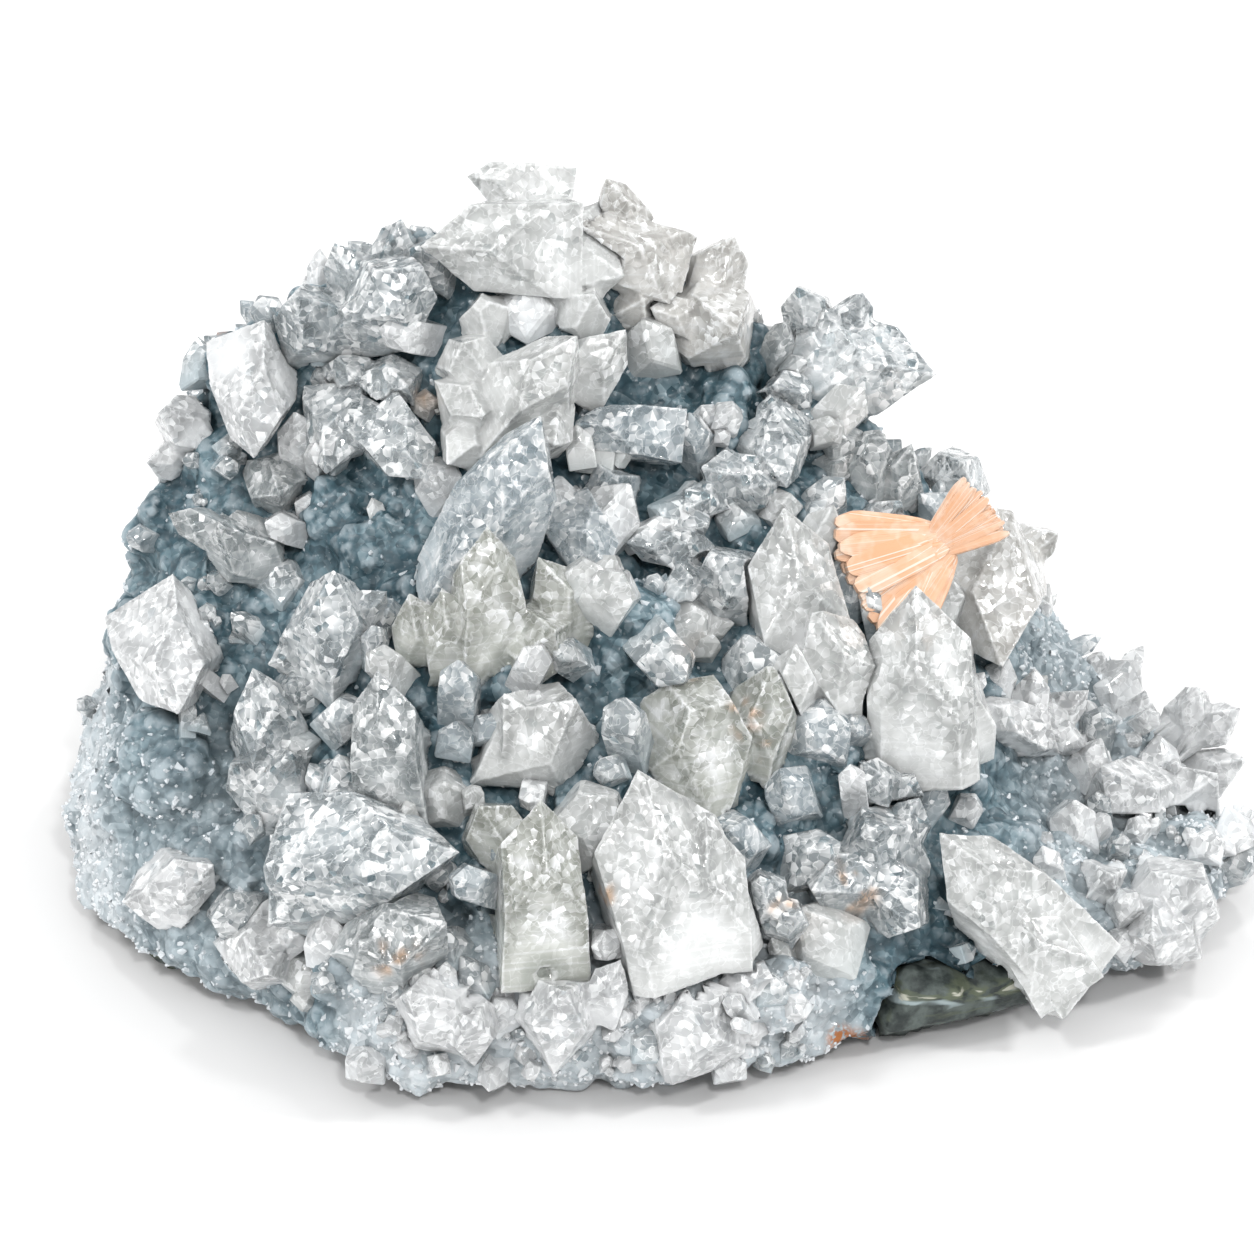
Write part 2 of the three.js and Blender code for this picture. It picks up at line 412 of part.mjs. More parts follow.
// The place on the rock that is seen at (u, v). Past the crest it is the place above the crest.
function seenAt(u, v) {
  const aim = MIDDLE.clone().addScaledVector(RIGHT, u).addScaledVector(UP, v).sub(EYE).normalize();
  const spot = new THREE.Vector3();
  for (let reach = SIGHT_REACH - SIGHT_SPAN; reach < SIGHT_REACH + SIGHT_SPAN; reach += 0.4) {
    spot.copy(EYE).addScaledVector(aim, reach);
    if (spot.y >= along(CREST_LINE, spot.x) || spot.z <= 1) break;
    if (spot.y > along(FRONT_EDGE, spot.x) && spot.z <= heightAt(spot.x, spot.y)) break;
  }
  return spot;
}

// A direction from how it looks in the front view: rightwards, upwards and towards the eye.
function seenWay([right, up, near]) {
  return new THREE.Vector3().addScaledVector(RIGHT, right).addScaledVector(UP, up)
    .addScaledVector(NEAR, near).normalize();
}

// The outward direction of the rock's face over a place in plan.
function faceOf(x, y) {
  const step = 1.5;
  return new THREE.Vector3(
    heightAt(x - step, y) - heightAt(x + step, y), heightAt(x, y - step) - heightAt(x, y + step), 2 * step,
  ).normalize();
}

function solidOf(geometry) {
  const bare = new THREE.BufferGeometry().setAttribute('position', geometry.getAttribute('position'));
  bare.setIndex(geometry.index);
  const merged = mergeVertices(bare, 1e-4);
  return new wasm.Manifold(new wasm.Mesh({
    numProp: 3,
    vertProperties: new Float32Array(merged.attributes.position.array),
    triVerts: new Uint32Array(merged.index.array),
  }));
}

function joined(solids) {
  return solids.reduce((sum, solid) => sum.add(solid));
}

// A cut can part a piece. The largest part is the piece, and the crumbs are dropped.
function largestOf(solid) {
  return solid.decompose().reduce((best, body) => body.volume() > best.volume() ? body : best);
}

// A body of the rock's outline: cross-sections side by side along x, from a floor up to topAt.
// wider moves its outline outwards, and depth is how far below z = 0 its floor lies.
function rockBody(topAt, columns, rows, { wider = 0, depth = 0 } = {}) {
  const points = [];
  for (let i = 0; i < columns; i++) {
    const share = i / (columns - 1) * 2 - 1;
    const x = HALF_WIDTH * Math.sign(share) * (1 - (1 - Math.abs(share)) ** CROWDING);
    const outX = x * (1 + wider / HALF_WIDTH);
    const front = along(FRONT_EDGE, x) - wider;
    const back = along(BACK_EDGE, x) + wider;
    const ridge = along(CREST_LINE, x);
    const inset = Math.min(FOOT_INSET, (back - front) * 0.2);
    const footX = outX * (1 - FOOT_INSET / HALF_WIDTH);
    points.push([footX, front + inset, -depth], [footX, back - inset, -depth]);
    points.push([outX, back, BACK_RIM * 0.4]);
    for (let j = rows.back; j >= 1; j--) {
      const y = THREE.MathUtils.lerp(ridge, back - 0.8, j / rows.back);
      points.push([outX, y, topAt(x, y)]);
    }
    for (let j = rows.front; j >= 0; j--) {
      const y = THREE.MathUtils.lerp(front + 0.8, ridge, j / rows.front);
      points.push([outX, y, topAt(x, y)]);
    }
    points.push([outX, front, 4]);
  }
  const round = points.length / columns;
  const faces = [];
  for (let i = 0; i + 1 < columns; i++)
    for (let j = 0; j < round; j++) {
      const a = i * round + j;
      const b = i * round + (j + 1) % round;
      faces.push(a, b, a + round, b, b + round, a + round);
    }
  const last = (columns - 1) * round;
  for (let j = 1; j + 1 < round; j++) {
    faces.push(0, j + 1, j);
    faces.push(last, last + j, last + j + 1);
  }
  const body = new THREE.BufferGeometry();
  body.setAttribute('position', new THREE.Float32BufferAttribute(points.flat(), 3));
  body.setIndex(faces);
  return solidOf(body);
}

// A knob of stone: a jittered round, flattened against the face that it grows on.
function knob(place, way, size, flat, seed, grow = 0) {
  const next = stream(seed);
  const round = mergeVertices(new THREE.BufferGeometry().setAttribute(
    'position', new THREE.IcosahedronGeometry(size, 0).getAttribute('position')), 1e-3);
  const spots = round.attributes.position;
  for (let i = 0; i < spots.count; i++) {
    const share = 0.84 + 0.3 * next() + grow / size;
    spots.setXYZ(i, spots.getX(i) * share, spots.getY(i) * share, spots.getZ(i) * share * flat);
  }
  round.applyQuaternion(new THREE.Quaternion().setFromUnitVectors(VERTICAL, way));
  round.applyQuaternion(new THREE.Quaternion().setFromAxisAngle(way, next() * Math.PI * 2));
  return solidOf(round.translate(place.x, place.y, place.z));
}

// A convex solid from its flat faces, each with an outward normal and its distance from the middle.
function cutByFaces(faces, place) {
  const corners = [];
  for (let i = 0; i < faces.length; i++)
    for (let j = i + 1; j < faces.length; j++)
      for (let k = j + 1; k < faces.length; k++) {
        const [a, b, c] = [faces[i], faces[j], faces[k]];
        const bc = new THREE.Vector3().crossVectors(b.normal, c.normal);
        const spread = a.normal.dot(bc);
        if (Math.abs(spread) < 1e-5) continue;
        const corner = bc.multiplyScalar(a.far)
          .addScaledVector(new THREE.Vector3().crossVectors(c.normal, a.normal), b.far)
          .addScaledVector(new THREE.Vector3().crossVectors(a.normal, b.normal), c.far)
          .divideScalar(spread);
        const inside = faces.every(({ normal, far }) => normal.dot(corner) <= far + 1e-4);
        if (inside && corners.every((other) => other.distanceTo(corner) > 0.03)) corners.push(corner);
      }
  const hull = new ConvexGeometry(corners);
  hull.translate(place.x, place.y, place.z);
  return solidOf(hull);
}

// One apophyllite crystal: a square prism under a four-sided pyramid that is set corner to face.
// grow pushes every face outwards, for the socket that the crystal stands in.
function apophyllite(crystal, seed, grow = 0) {
  const { u, v, wide, long, way, stand, turn, blunt = 0, twoEnded = false } = crystal;
  const next = stream(seed);
  const axis = seenWay(way);
  const side = VERTICAL.clone().cross(axis).normalize()
    .applyAxisAngle(axis, THREE.MathUtils.degToRad(turn));
  const third = new THREE.Vector3().crossVectors(axis, side);
  const half = long / 2;
  const faces = [];
  const addFace = (out, angle, up, far) => {
    const normal = new THREE.Vector3().addScaledVector(side, out * Math.cos(angle))
      .addScaledVector(third, out * Math.sin(angle)).addScaledVector(axis, up).normalize();
    faces.push({ normal, far: far + grow });
  };
  for (let i = 0; i < 4; i++) {
    const flat = i * Math.PI / 2;
    const corner = flat + Math.PI / 4;
    const apart = wide / 2 * (0.92 + 0.16 * next());
    addFace(1, flat, TAPER, apart);
    if (wide > BEVEL_FROM) addFace(1, corner, TAPER, apart * (1.2 + 0.12 * next()));
    const lean = PYRAMID_LEAN + 0.06 * (next() - 0.5);
    const far = half * Math.cos(lean) * (0.97 + 0.06 * next());
    addFace(Math.sin(lean), corner, Math.cos(lean), far);
    if (twoEnded) addFace(Math.sin(lean), corner, -Math.cos(lean), far);
  }
  if (blunt) addFace(0.08 * next(), turn, 1, half - blunt * 0.62 * wide);
  addFace(0, 0, -1, half);
  return cutByFaces(faces, seenAt(u, v).addScaledVector(NEAR, stand));
}

// A sheaf of stilbite: blades side by side as a pleated fan, thin at the waist, ragged at the far end.
function stilbite(sheaf, seed, grow = 0) {
  const next = stream(seed);
  const steps = sheaf.blades * 2;
  const place = seenAt(sheaf.u, sheaf.v).addScaledVector(NEAR, sheaf.stand);
  const points = [];
  for (const hand of [1, -1])
    for (let i = 0; i <= steps; i++) {
      const spread = (sheaf.to - sheaf.from) * (i / steps) + (i % steps ? 0 : (i ? grow : -grow) * 4);
      const bearing = THREE.MathUtils.degToRad(sheaf.from + spread);
      const out = seenWay([Math.cos(bearing), Math.sin(bearing), sheaf.near]);
      const ridge = i % 2;
      const reach = sheaf.long * (ridge ? 0.95 + 0.1 * next() : 0.84 + 0.06 * next());
      const thick = sheaf.wide / 2 * (ridge ? 0.9 + 0.2 * next() : 0.5 + 0.2 * next());
      const waist = [0.05 * sheaf.long - grow, 0.4 * thick];
      for (const [far, depth] of [waist, [0.6 * reach, thick], [reach + grow, 0.55 * thick]])
        points.push(place.clone().addScaledVector(out, far).addScaledVector(NEAR, hand * (depth + grow)));
    }
  const rings = 3;
  const layer = (steps + 1) * rings;
  const faces = [];
  const quad = (a, b, c, d) => faces.push(a, b, c, a, c, d);
  for (let i = 0; i < steps; i++) {
    for (let j = 0; j + 1 < rings; j++) {
      const a = i * rings + j;
      quad(a, a + 1, a + 1 + rings, a + rings);
      quad(layer + a, layer + a + rings, layer + a + 1 + rings, layer + a + 1);
    }
    const inner = i * rings;
    const outer = inner + rings - 1;
    quad(inner, inner + rings, layer + inner + rings, layer + inner);
    quad(outer, layer + outer, layer + outer + rings, outer + rings);
  }
  const end = steps * rings;
  for (let j = 0; j + 1 < rings; j++) {
    quad(j, layer + j, layer + j + 1, j + 1);
    quad(end + j, end + j + 1, layer + end + j + 1, layer + end + j);
  }
  const fan = new THREE.BufferGeometry();
  const numbers = points.flatMap((point) => point.toArray());
  fan.setAttribute('position', new THREE.Float32BufferAttribute(numbers, 3));
  fan.setIndex(faces);
  return solidOf(fan);
}

// Every crystal stand and sheaf, uncut, with the socket that its neighbours leave for it.
const growths = [];
Object.entries(STANDS).forEach(([name, crystals], row) => {
  const seedOf = (i) => row * 40 + i + 1;
  growths.push({
    name,
    solid: joined(crystals.map((crystal, i) => apophyllite(crystal, seedOf(i)))),
    socket: joined(crystals.map((crystal, i) => apophyllite(crystal, seedOf(i), SEAM))),
  });
});
Object.entries(SHEAVES).forEach(([name, sheaf], row) => {
  growths.push({ name, solid: stilbite(sheaf, row + 1), socket: stilbite(sheaf, row + 1, SEAM) });
});

// Knobs of chalcedony over the open front: a loose grid of them wherever no crystal stands.
const knobSpots = [];
const scatter = stream(KNOB_SEED);
for (let v = KNOB_FIELD.low; v <= KNOB_FIELD.high; v += KNOB_GAP)
  for (let u = KNOB_FIELD.left; u <= KNOB_FIELD.right; u += KNOB_GAP) {
    const [atU, atV] = [u + KNOB_GAP * (scatter() - 0.5), v + KNOB_GAP * (scatter() - 0.5)];
    const size = KNOB_SIZE * (0.75 + 0.6 * scatter());
    const place = seenAt(atU, atV);
    const over = place.z - heightAt(place.x, place.y);
    const hidden = Object.values(STANDS).flat().some(
      (crystal) => Math.hypot(crystal.u - atU, crystal.v - atV) < crystal.wide * 0.5 + size * 0.35);
    const bare = OUTCROP.some(({ x, y }) => Math.hypot(x - place.x, y - place.y) < BARE_REACH);
    if (Math.abs(over) > 1.5 || hidden || bare || place.z < size * 0.9) continue;
    if (Math.abs(place.x) > HALF_WIDTH - size * 1.6) continue;
    knobSpots.push({ place, way: faceOf(place.x, place.y), size, flat: KNOB_FLATNESS });
  }
for (const { x, y, size } of BOULDERS) {
  const place = new THREE.Vector3(x, y, heightAt(x, y) - size * BOULDER_SUNK);
  knobSpots.push({ place, way: faceOf(x, y), size, flat: BOULDER_FLATNESS });
}

// Cuts the flat breaks of the back off a form. grow leaves them this much further out.
function broken(form, grow) {
  return BREAKS.reduce((stone, { x, y, turn, tip, deep }) => {
    const out = faceOf(x, y).applyAxisAngle(RIGHT, THREE.MathUtils.degToRad(tip))
      .applyAxisAngle(VERTICAL, THREE.MathUtils.degToRad(turn));
    const spot = new THREE.Vector3(x, y, heightAt(x, y)).addScaledVector(out, grow - deep);
    const waste = new THREE.BoxGeometry(WORLD, WORLD, WORLD).translate(0, 0, WORLD / 2)
      .applyQuaternion(new THREE.Quaternion().setFromUnitVectors(VERTICAL, out))
      .translate(spot.x, spot.y, spot.z);
    return stone.subtract(solidOf(waste));
  }, form);
}

// The chalcedony's outer form. grow raises it, for what grows on it to be cut by.
function crustForm(grow = 0) {
  const top = (x, y) => heightAt(x, y) + grow * LIFT;
  const mound = rockBody(top, 19, { front: 7, back: 4 }, { wider: grow });
  return broken(joined([mound, ...knobSpots.map(
    ({ place, way, size, flat }, i) => knob(place, way, size, flat, i + 1, grow))]), grow);
}

// The basalt's form. grow raises it, for the chalcedony to be cut by.
function basaltForm(grow = 0) {
  const top = (x, y) => Math.max(basaltAt(x, y) + grow * LIFT, -FLOOR_DEPTH / 3);
  const deep = rockBody(top, 19, { front: 4, back: 4 }, { wider: 2, depth: FLOOR_DEPTH });
  const blocks = OUTCROP.map(({ x, y, z, size }) => knob(
    new THREE.Vector3(x, y, z), new THREE.Vector3(0, -0.6, 0.8), size, 0.9, size, grow));
  return broken(joined([deep, ...blocks]), grow);
}

const aboveGround = solidOf(new THREE.BoxGeometry(WORLD, WORLD, WORLD).translate(0, 0, WORLD / 2));
const outline = rockBody(() => SKY, 19, { front: 1, back: 1 }, { wider: OUTLINE_SPARE });
const basalt = largestOf(basaltForm().intersect(outline).intersect(aboveGround));
const crust = largestOf(crustForm().intersect(aboveGround).subtract(basaltForm(SEAM)));
const rock = crustForm(SEAM).add(basaltForm(SEAM).intersect(outline));

// Colours, roughnesses and metalnesses of the four stones.
const MATERIALS = {
  chalcedony: () => new THREE.MeshStandardMaterial({ color: 0x8fa5b3, roughness: 0.4, metalness: 0 }),
  basalt: () => new THREE.MeshStandardMaterial({ color: 0x3b4340, roughness: 0.9, metalness: 0 }),
  apophyllite: () => new THREE.MeshStandardMaterial({ color: 0xe9edec, roughness: 0.1, metalness: 0 }),
  stilbite: () => new THREE.MeshStandardMaterial({ color: 0xf3b48b, roughness: 0.35, metalness: 0 }),
};

function meshOf(name, solid, stone) {
  const { vertProperties, triVerts } = solid.getMesh();
  const geometry = new THREE.BufferGeometry();
  geometry.setAttribute('position', new THREE.Float32BufferAttribute(vertProperties, 3));
  geometry.setIndex(Array.from(triVerts));
  geometry.computeVertexNormals();
  const mesh = new THREE.Mesh(geometry, MATERIALS[stone]());
  mesh.name = name;
  return mesh;
}

const group = new THREE.Group();
group.add(meshOf('basalt_base', basalt, 'basalt'));
group.add(meshOf('chalcedony_crust', crust, 'chalcedony'));
let taken = rock;
for (const { name, solid, socket } of growths) {
  const piece = largestOf(solid.subtract(taken));
  group.add(meshOf(name, piece, name.startsWith('stilbite') ? 'stilbite' : 'apophyllite'));
  taken = taken.add(socket);
}

export default group;
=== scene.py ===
import math
import random

import bpy
import numpy as np
from mathutils import Matrix, Vector, noise
from mathutils.bvhtree import BVHTree
from mathutils.kdtree import KDTree


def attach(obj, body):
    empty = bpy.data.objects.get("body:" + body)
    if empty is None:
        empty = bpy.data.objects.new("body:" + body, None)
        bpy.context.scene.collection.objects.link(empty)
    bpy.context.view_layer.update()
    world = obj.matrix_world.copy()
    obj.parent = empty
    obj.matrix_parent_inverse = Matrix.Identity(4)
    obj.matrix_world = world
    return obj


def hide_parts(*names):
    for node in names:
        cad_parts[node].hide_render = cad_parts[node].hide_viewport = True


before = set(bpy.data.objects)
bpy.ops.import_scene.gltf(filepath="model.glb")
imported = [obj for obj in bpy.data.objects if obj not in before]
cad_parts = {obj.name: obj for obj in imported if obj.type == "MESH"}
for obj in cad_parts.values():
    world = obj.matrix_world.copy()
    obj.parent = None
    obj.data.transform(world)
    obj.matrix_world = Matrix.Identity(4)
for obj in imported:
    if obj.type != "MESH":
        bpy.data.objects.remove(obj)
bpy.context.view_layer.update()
MM = 0.001

# The basalt. A broken piece of dark lava, ground flat below, whose back is bare.
# Blocks of it reach through the chalcedony at the lower right, where green and
# cream seams run along them.


def pick(pieces):
    """Selects some pieces and nothing else; the first of them is the active one."""
    bpy.ops.object.select_all(action="DESELECT")
    for piece in pieces:
        piece.select_set(True)
    bpy.context.view_layer.objects.active = pieces[0]


def fresh_copy(node, name):
    """A copy of a CAD node as a piece of its own, with its loose triangles merged."""
    piece = bpy.data.objects.new(name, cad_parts[node].data.copy())
    bpy.context.scene.collection.objects.link(piece)
    piece.data.materials.clear()
    pick([piece])
    bpy.ops.object.mode_set(mode="EDIT")
    bpy.ops.mesh.select_all(action="SELECT")
    bpy.ops.mesh.remove_doubles(threshold=0.002 * MM)
    bpy.ops.object.mode_set(mode="OBJECT")
    return piece


def apply(piece, kind, **settings):
    """Adds a modifier, sets it and applies it."""
    bpy.context.view_layer.objects.active = piece
    modifier = piece.modifiers.new(kind.lower(), kind)
    for key, value in settings.items():
        setattr(modifier, key, value)
    bpy.ops.object.modifier_apply(modifier=modifier.name)


def relief(name, kind, grain, **settings):
    """A solid pattern for Displace, whose grain is a length."""
    pattern = bpy.data.textures.new(name, kind)
    pattern.noise_scale = grain
    for key, value in settings.items():
        setattr(pattern, key, value)
    return pattern


def store(mesh, name, values):
    """Keeps a number for each vertex of a mesh, for its material."""
    attribute = mesh.attributes.new(name, "FLOAT", "POINT")
    attribute.data.foreach_set("value", np.asarray(values, np.float32))


class Reading:
    """A shader socket that is used as a number, a colour or a vector in Python expressions."""

    def __init__(self, shading, socket):
        self.shading = shading
        self.socket = socket

    def __add__(self, other):
        return self.shading.math("ADD", self, other)

    def __sub__(self, other):
        return self.shading.math("SUBTRACT", self, other)

    def __mul__(self, other):
        return self.shading.math("MULTIPLY", self, other)

    def __rsub__(self, other):
        return self.shading.math("SUBTRACT", other, self)

    __radd__ = __add__
    __rmul__ = __mul__

    def between(self, low, high):
        """0 below low, 1 above high, and smooth between them."""
        return self.shading.node(
            "ShaderNodeMapRange",
            {"interpolation_type": "SMOOTHSTEP"},
            {"Value": self, "From Min": low, "From Max": high},
        )


class Shading:
    """A material whose nodes are written as expressions."""

    def __init__(self, name):
        self.material = bpy.data.materials.new(name)
        self.material.use_nodes = True
        self.tree = self.material.node_tree
        self.tree.nodes.clear()
        self.end = self.tree.nodes.new("ShaderNodeOutputMaterial")

    def node(self, kind, settings, values, output=0):
        """A node with its settings, and then the values or links of its sockets; one output is read."""
        made = self.tree.nodes.new(kind)
        for key, value in settings.items():
            setattr(made, key, value)
        for key, value in values.items():
            socket = made.inputs[key]
            if isinstance(value, Reading):
                self.tree.links.new(value.socket, socket)
            elif isinstance(value, tuple) and socket.type == "RGBA":
                socket.default_value = (*value, 1)
            else:
                socket.default_value = value
        return Reading(self, made.outputs[output])

    def math(self, operation, *values):
        return self.node(
            "ShaderNodeMath", {"operation": operation}, dict(enumerate(values))
        )

    def place(self):
        return self.node("ShaderNodeTexCoord", {}, {}, "Object")

    def attribute(self, name):
        return self.node("ShaderNodeAttribute", {"attribute_name": name}, {}, "Fac")

    def vector(self, operation, *values, output="Vector"):
        """Vector maths on readings and plain triples."""
        return self.node("ShaderNodeVectorMath", {"operation": operation}, dict(enumerate(values)), output)

    def scaled(self, where, amount):
        return self.node(
            "ShaderNodeVectorMath", {"operation": "SCALE"}, {0: where, "Scale": amount}, "Vector"
        )

    def noise(self, where, scale, detail, output="Fac"):
        return self.node(
            "ShaderNodeTexNoise",
            {},
            {"Vector": where, "Scale": scale, "Detail": detail, "Roughness": 0.55},
            output,
        )

    def streaks(self, where, scale, detail, rough):
        """Noise along one line, for growth bands and for the grain of a blade."""
        return self.node(
            "ShaderNodeTexNoise",
            {"noise_dimensions": "1D"},
            {"W": where, "Scale": scale, "Detail": detail, "Roughness": rough},
            "Fac",
        )

    def cells(self, where, scale):
        """A colour of its own in each small cell."""
        return self.node("ShaderNodeTexVoronoi", {}, {"Vector": where, "Scale": scale}, "Color")

    def stirred(self, where, scale, amount):
        """where, pushed about by noise."""
        push = self.noise(where, scale, 2, "Color")
        centred = self.vector("SUBTRACT", push, (0.5, 0.5, 0.5))
        return self.vector("ADD", where, self.scaled(centred, amount))

    def facets(self, cell, tilt, under=None):
        """Normals that lean a little their own way in each small cell, as on broken crystal."""
        if under is None:
            under = self.node("ShaderNodeNewGeometry", {}, {}, "Normal")
        lean = self.scaled(self.vector("SUBTRACT", cell, (0.5, 0.5, 0.5)), tilt)
        return self.vector("NORMALIZE", self.vector("ADD", under, lean))

    def slant(self, where, scale, steep):
        """The colours of small cells, and a number that runs its own way from dark to light across each:
        painted light and shade across each cell, as across a lit facet.
        """
        cell = self.cells(where, scale)
        heart = Reading(self, cell.socket.node.outputs["Position"])
        way = self.vector("SUBTRACT", cell, (0.5, 0.5, 0.5))
        offset = self.vector("SUBTRACT", where, heart)
        climb = self.vector("DOT_PRODUCT", way, offset, output="Value")
        return cell, climb * (scale * steep) + cell - 0.5

    def mixed(self, first, second, share):
        """A colour between two colours."""
        return self.node(
            "ShaderNodeMix", {"data_type": "RGBA"}, {0: share, 6: first, 7: second}, 2
        )

    def principled(self, values):
        return self.node("ShaderNodeBsdfPrincipled", {}, values)

    def bump(self, height, depth, strength):
        return self.node("ShaderNodeBump", {}, {"Height": height, "Distance": depth, "Strength": strength})

    def surface(self, shader):
        self.tree.links.new(shader.socket, self.end.inputs["Surface"])
        return self.material

    def inside(self, shader):
        self.tree.links.new(shader.socket, self.end.inputs["Volume"])


BASALT_CELL = 0.8 * MM
FOOT_HEIGHT = 0.9 * MM
SEAM_FADE = 20 * MM
SEAM_LEAST = 0.25
basalt = fresh_copy("basalt_base", "basalt")
apply(basalt, "REMESH", mode="VOXEL", voxel_size=BASALT_CELL)
basalt_rough = relief("basalt_rough", "VORONOI", 6 * MM, weight_1=-1.0, weight_2=1.0)
basalt_grain = relief("basalt_grain", "CLOUDS", 2.6 * MM, noise_depth=3)
apply(basalt, "DISPLACE", texture=basalt_rough, strength=1.2 * MM, mid_level=0.5)
apply(basalt, "DISPLACE", texture=basalt_grain, strength=0.9 * MM, mid_level=0.5)
apply(basalt, "SMOOTH", factor=0.5, iterations=1)
for corner in basalt.data.vertices:
    if corner.co.z < FOOT_HEIGHT:
        corner.co.z = max(corner.co.z * 0.3, 0.0)

forward = [min(1.0, max(SEAM_LEAST, -corner.co.y / SEAM_FADE)) for corner in basalt.data.vertices]
store(basalt.data, "vuggy", forward)

rock = Shading("basalt")
here = rock.place()
crumbs = rock.noise(here, 420, 6)
patches = rock.noise(here, 55, 3)
laid = rock.stirred(rock.vector("MULTIPLY", here, (0.5, 0.5, 1.7)), 150, 0.008)
seams = rock.noise(laid, 300, 3)
swirl = rock.noise(laid, 190, 2)
vuggy = rock.attribute("vuggy")
stone = rock.mixed((0.018, 0.026, 0.025), (0.12, 0.145, 0.135), crumbs.between(0.35, 0.7))
olive = seams.between(0.50, 0.6) * patches.between(0.4, 0.55) * vuggy
stone = rock.mixed(stone, (0.11, 0.13, 0.085), olive)
stone = rock.mixed(stone, (0.33, 0.40, 0.41), swirl.between(0.57, 0.66) * vuggy)
stone = rock.mixed(stone, (0.50, 0.50, 0.42), seams.between(0.62, 0.68) * vuggy)
rock_surface = rock.principled(
    {
        "Base Color": stone,
        "Roughness": crumbs.between(0.2, 0.8) * 0.35 + 0.5,
        "Normal": rock.bump(crumbs + seams, 0.5 * MM, 0.7),
    }
)
basalt.data.materials.append(rock.surface(rock_surface))
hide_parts("basalt_base")
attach(basalt, "root")

# The chalcedony. A waxy blue-grey crust, grown as grapelike lumps under a fine
# druse of quartz. It is palest along its rim, at the lower left and on the right
# wing. Its colour holds painted shade, darkest in the hollows between the crystals
# and in the creases between lumps, and painted highlights on the ridges of the lumps
# and across their small facets.

VIEW_RISE = math.radians(33)
RIGHT = Vector((1, 0, 0))
UP = Vector((0, math.sin(VIEW_RISE), math.cos(VIEW_RISE)))
NEAR = Vector((0, -math.cos(VIEW_RISE), math.sin(VIEW_RISE)))
MIDDLE = Vector((-3.4, 0, 36.6)) * MM
HOLLOW_REACH = 14 * MM
RAY_START = 0.8 * MM
RAYS = ((0, 0),) + tuple((lean, turn) for lean in (42, 72) for turn in (10, 100, 190, 280))
CRUST_STAINS = (
    (-51.5, 38.5, 1.6), (27.2, -51.6, 2.4), (26.0, -50.0, 1.5), (33, -17.5, 1.5), (-42, -22, 2.5),
)
CRUST_CELL = 0.62 * MM
CRUST_LOWEST = 0.1 * MM
CRUST_BACK = 1.2 * MM
BACK_KEPT = 0.1


def tree_of(pieces):
    """The surfaces of some pieces, for rays and distances."""
    corners, faces = [], []
    for piece in pieces:
        start = len(corners)
        corners += [corner.co.copy() for corner in piece.data.vertices]
        faces += [[start + i for i in face.vertices] for face in piece.data.polygons]
    return BVHTree.FromPolygons(corners, faces)


def hollows(piece, tree):
    """For each vertex, the share of its outward rays that soon meet something."""
    shares = []
    for corner in piece.data.vertices:
        out = corner.normal
        side = out.orthogonal().normalized()
        back = out.cross(side)
        start = corner.co + out * RAY_START
        met = 0
        for lean, turn in RAYS:
            rise, flat = math.cos(math.radians(lean)), math.sin(math.radians(lean))
            turned = math.radians(turn)
            aim = out * rise + (side * math.cos(turned) + back * math.sin(turned)) * flat
            if tree.ray_cast(start, aim, HOLLOW_REACH)[0] is not None:
                met += 1
        shares.append(met / len(RAYS))
    return np.array(shares)


def places_of(piece, what="co"):
    numbers = np.empty(len(piece.data.vertices) * 3, np.float32)
    piece.data.vertices.foreach_get(what, numbers)
    return numbers.reshape(-1, 3)


def eased(values, low, high):
    """0 below low, 1 above high, and smooth between them."""
    share = np.clip((values - low) / (high - low), 0, 1)
    return share * share * (3 - 2 * share)


def stained(piece, stains):
    """How near each vertex that faces the front is to a stain, each a place in the view and a reach."""
    offsets = places_of(piece) - np.array(MIDDLE)
    u = offsets @ np.array(RIGHT) / MM
    v = offsets @ np.array(UP) / MM
    facing = places_of(piece, "normal") @ np.array(NEAR)
    rust = np.zeros(len(u))
    for centre_u, centre_v, reach in stains:
        gap = np.hypot(u - centre_u, v - centre_v)
        rust = np.maximum(rust, eased(reach * 1.6 - gap, 0, reach))
    return rust * eased(facing, -0.2, 0.2)


def sharpness(piece):
    """How far each vertex stands out from the middle of its neighbours, against their distance."""
    places = places_of(piece)
    pairs = np.empty(len(piece.data.edges) * 2, np.int32)
    piece.data.edges.foreach_get("vertices", pairs)
    first, second = pairs.reshape(-1, 2).T
    total = np.zeros_like(places)
    count = np.zeros(len(places))
    spread = np.linalg.norm(places[first] - places[second], axis=1)
    width = np.zeros(len(places))
    for here, there in ((first, second), (second, first)):
        np.add.at(total, here, places[there])
        np.add.at(count, here, 1)
        np.add.at(width, here, spread)
    pull = places - total / count[:, None]
    return np.einsum("ij,ij->i", pull, places_of(piece, "normal")) * count / width


crust = fresh_copy("chalcedony_crust", "chalcedony")
apply(crust, "REMESH", mode="VOXEL", voxel_size=CRUST_CELL)
apply(crust, "SMOOTH", factor=0.6, iterations=4)
lumps = relief("chalcedony_lumps", "VORONOI", 6.5 * MM)
grapes = relief("chalcedony_grapes", "VORONOI", 3.4 * MM)
chips = relief("chalcedony_chips", "VORONOI", 2.2 * MM, weight_1=-1.0, weight_2=1.0)
apply(crust, "DISPLACE", texture=lumps, strength=-3.2 * MM, mid_level=0.5)
apply(crust, "DISPLACE", texture=grapes, strength=-1.5 * MM, mid_level=0.4)
apply(crust, "DISPLACE", texture=chips, strength=0.35 * MM, mid_level=0.4)
for corner in crust.data.vertices:
    corner.co.z = max(corner.co.z, CRUST_LOWEST)

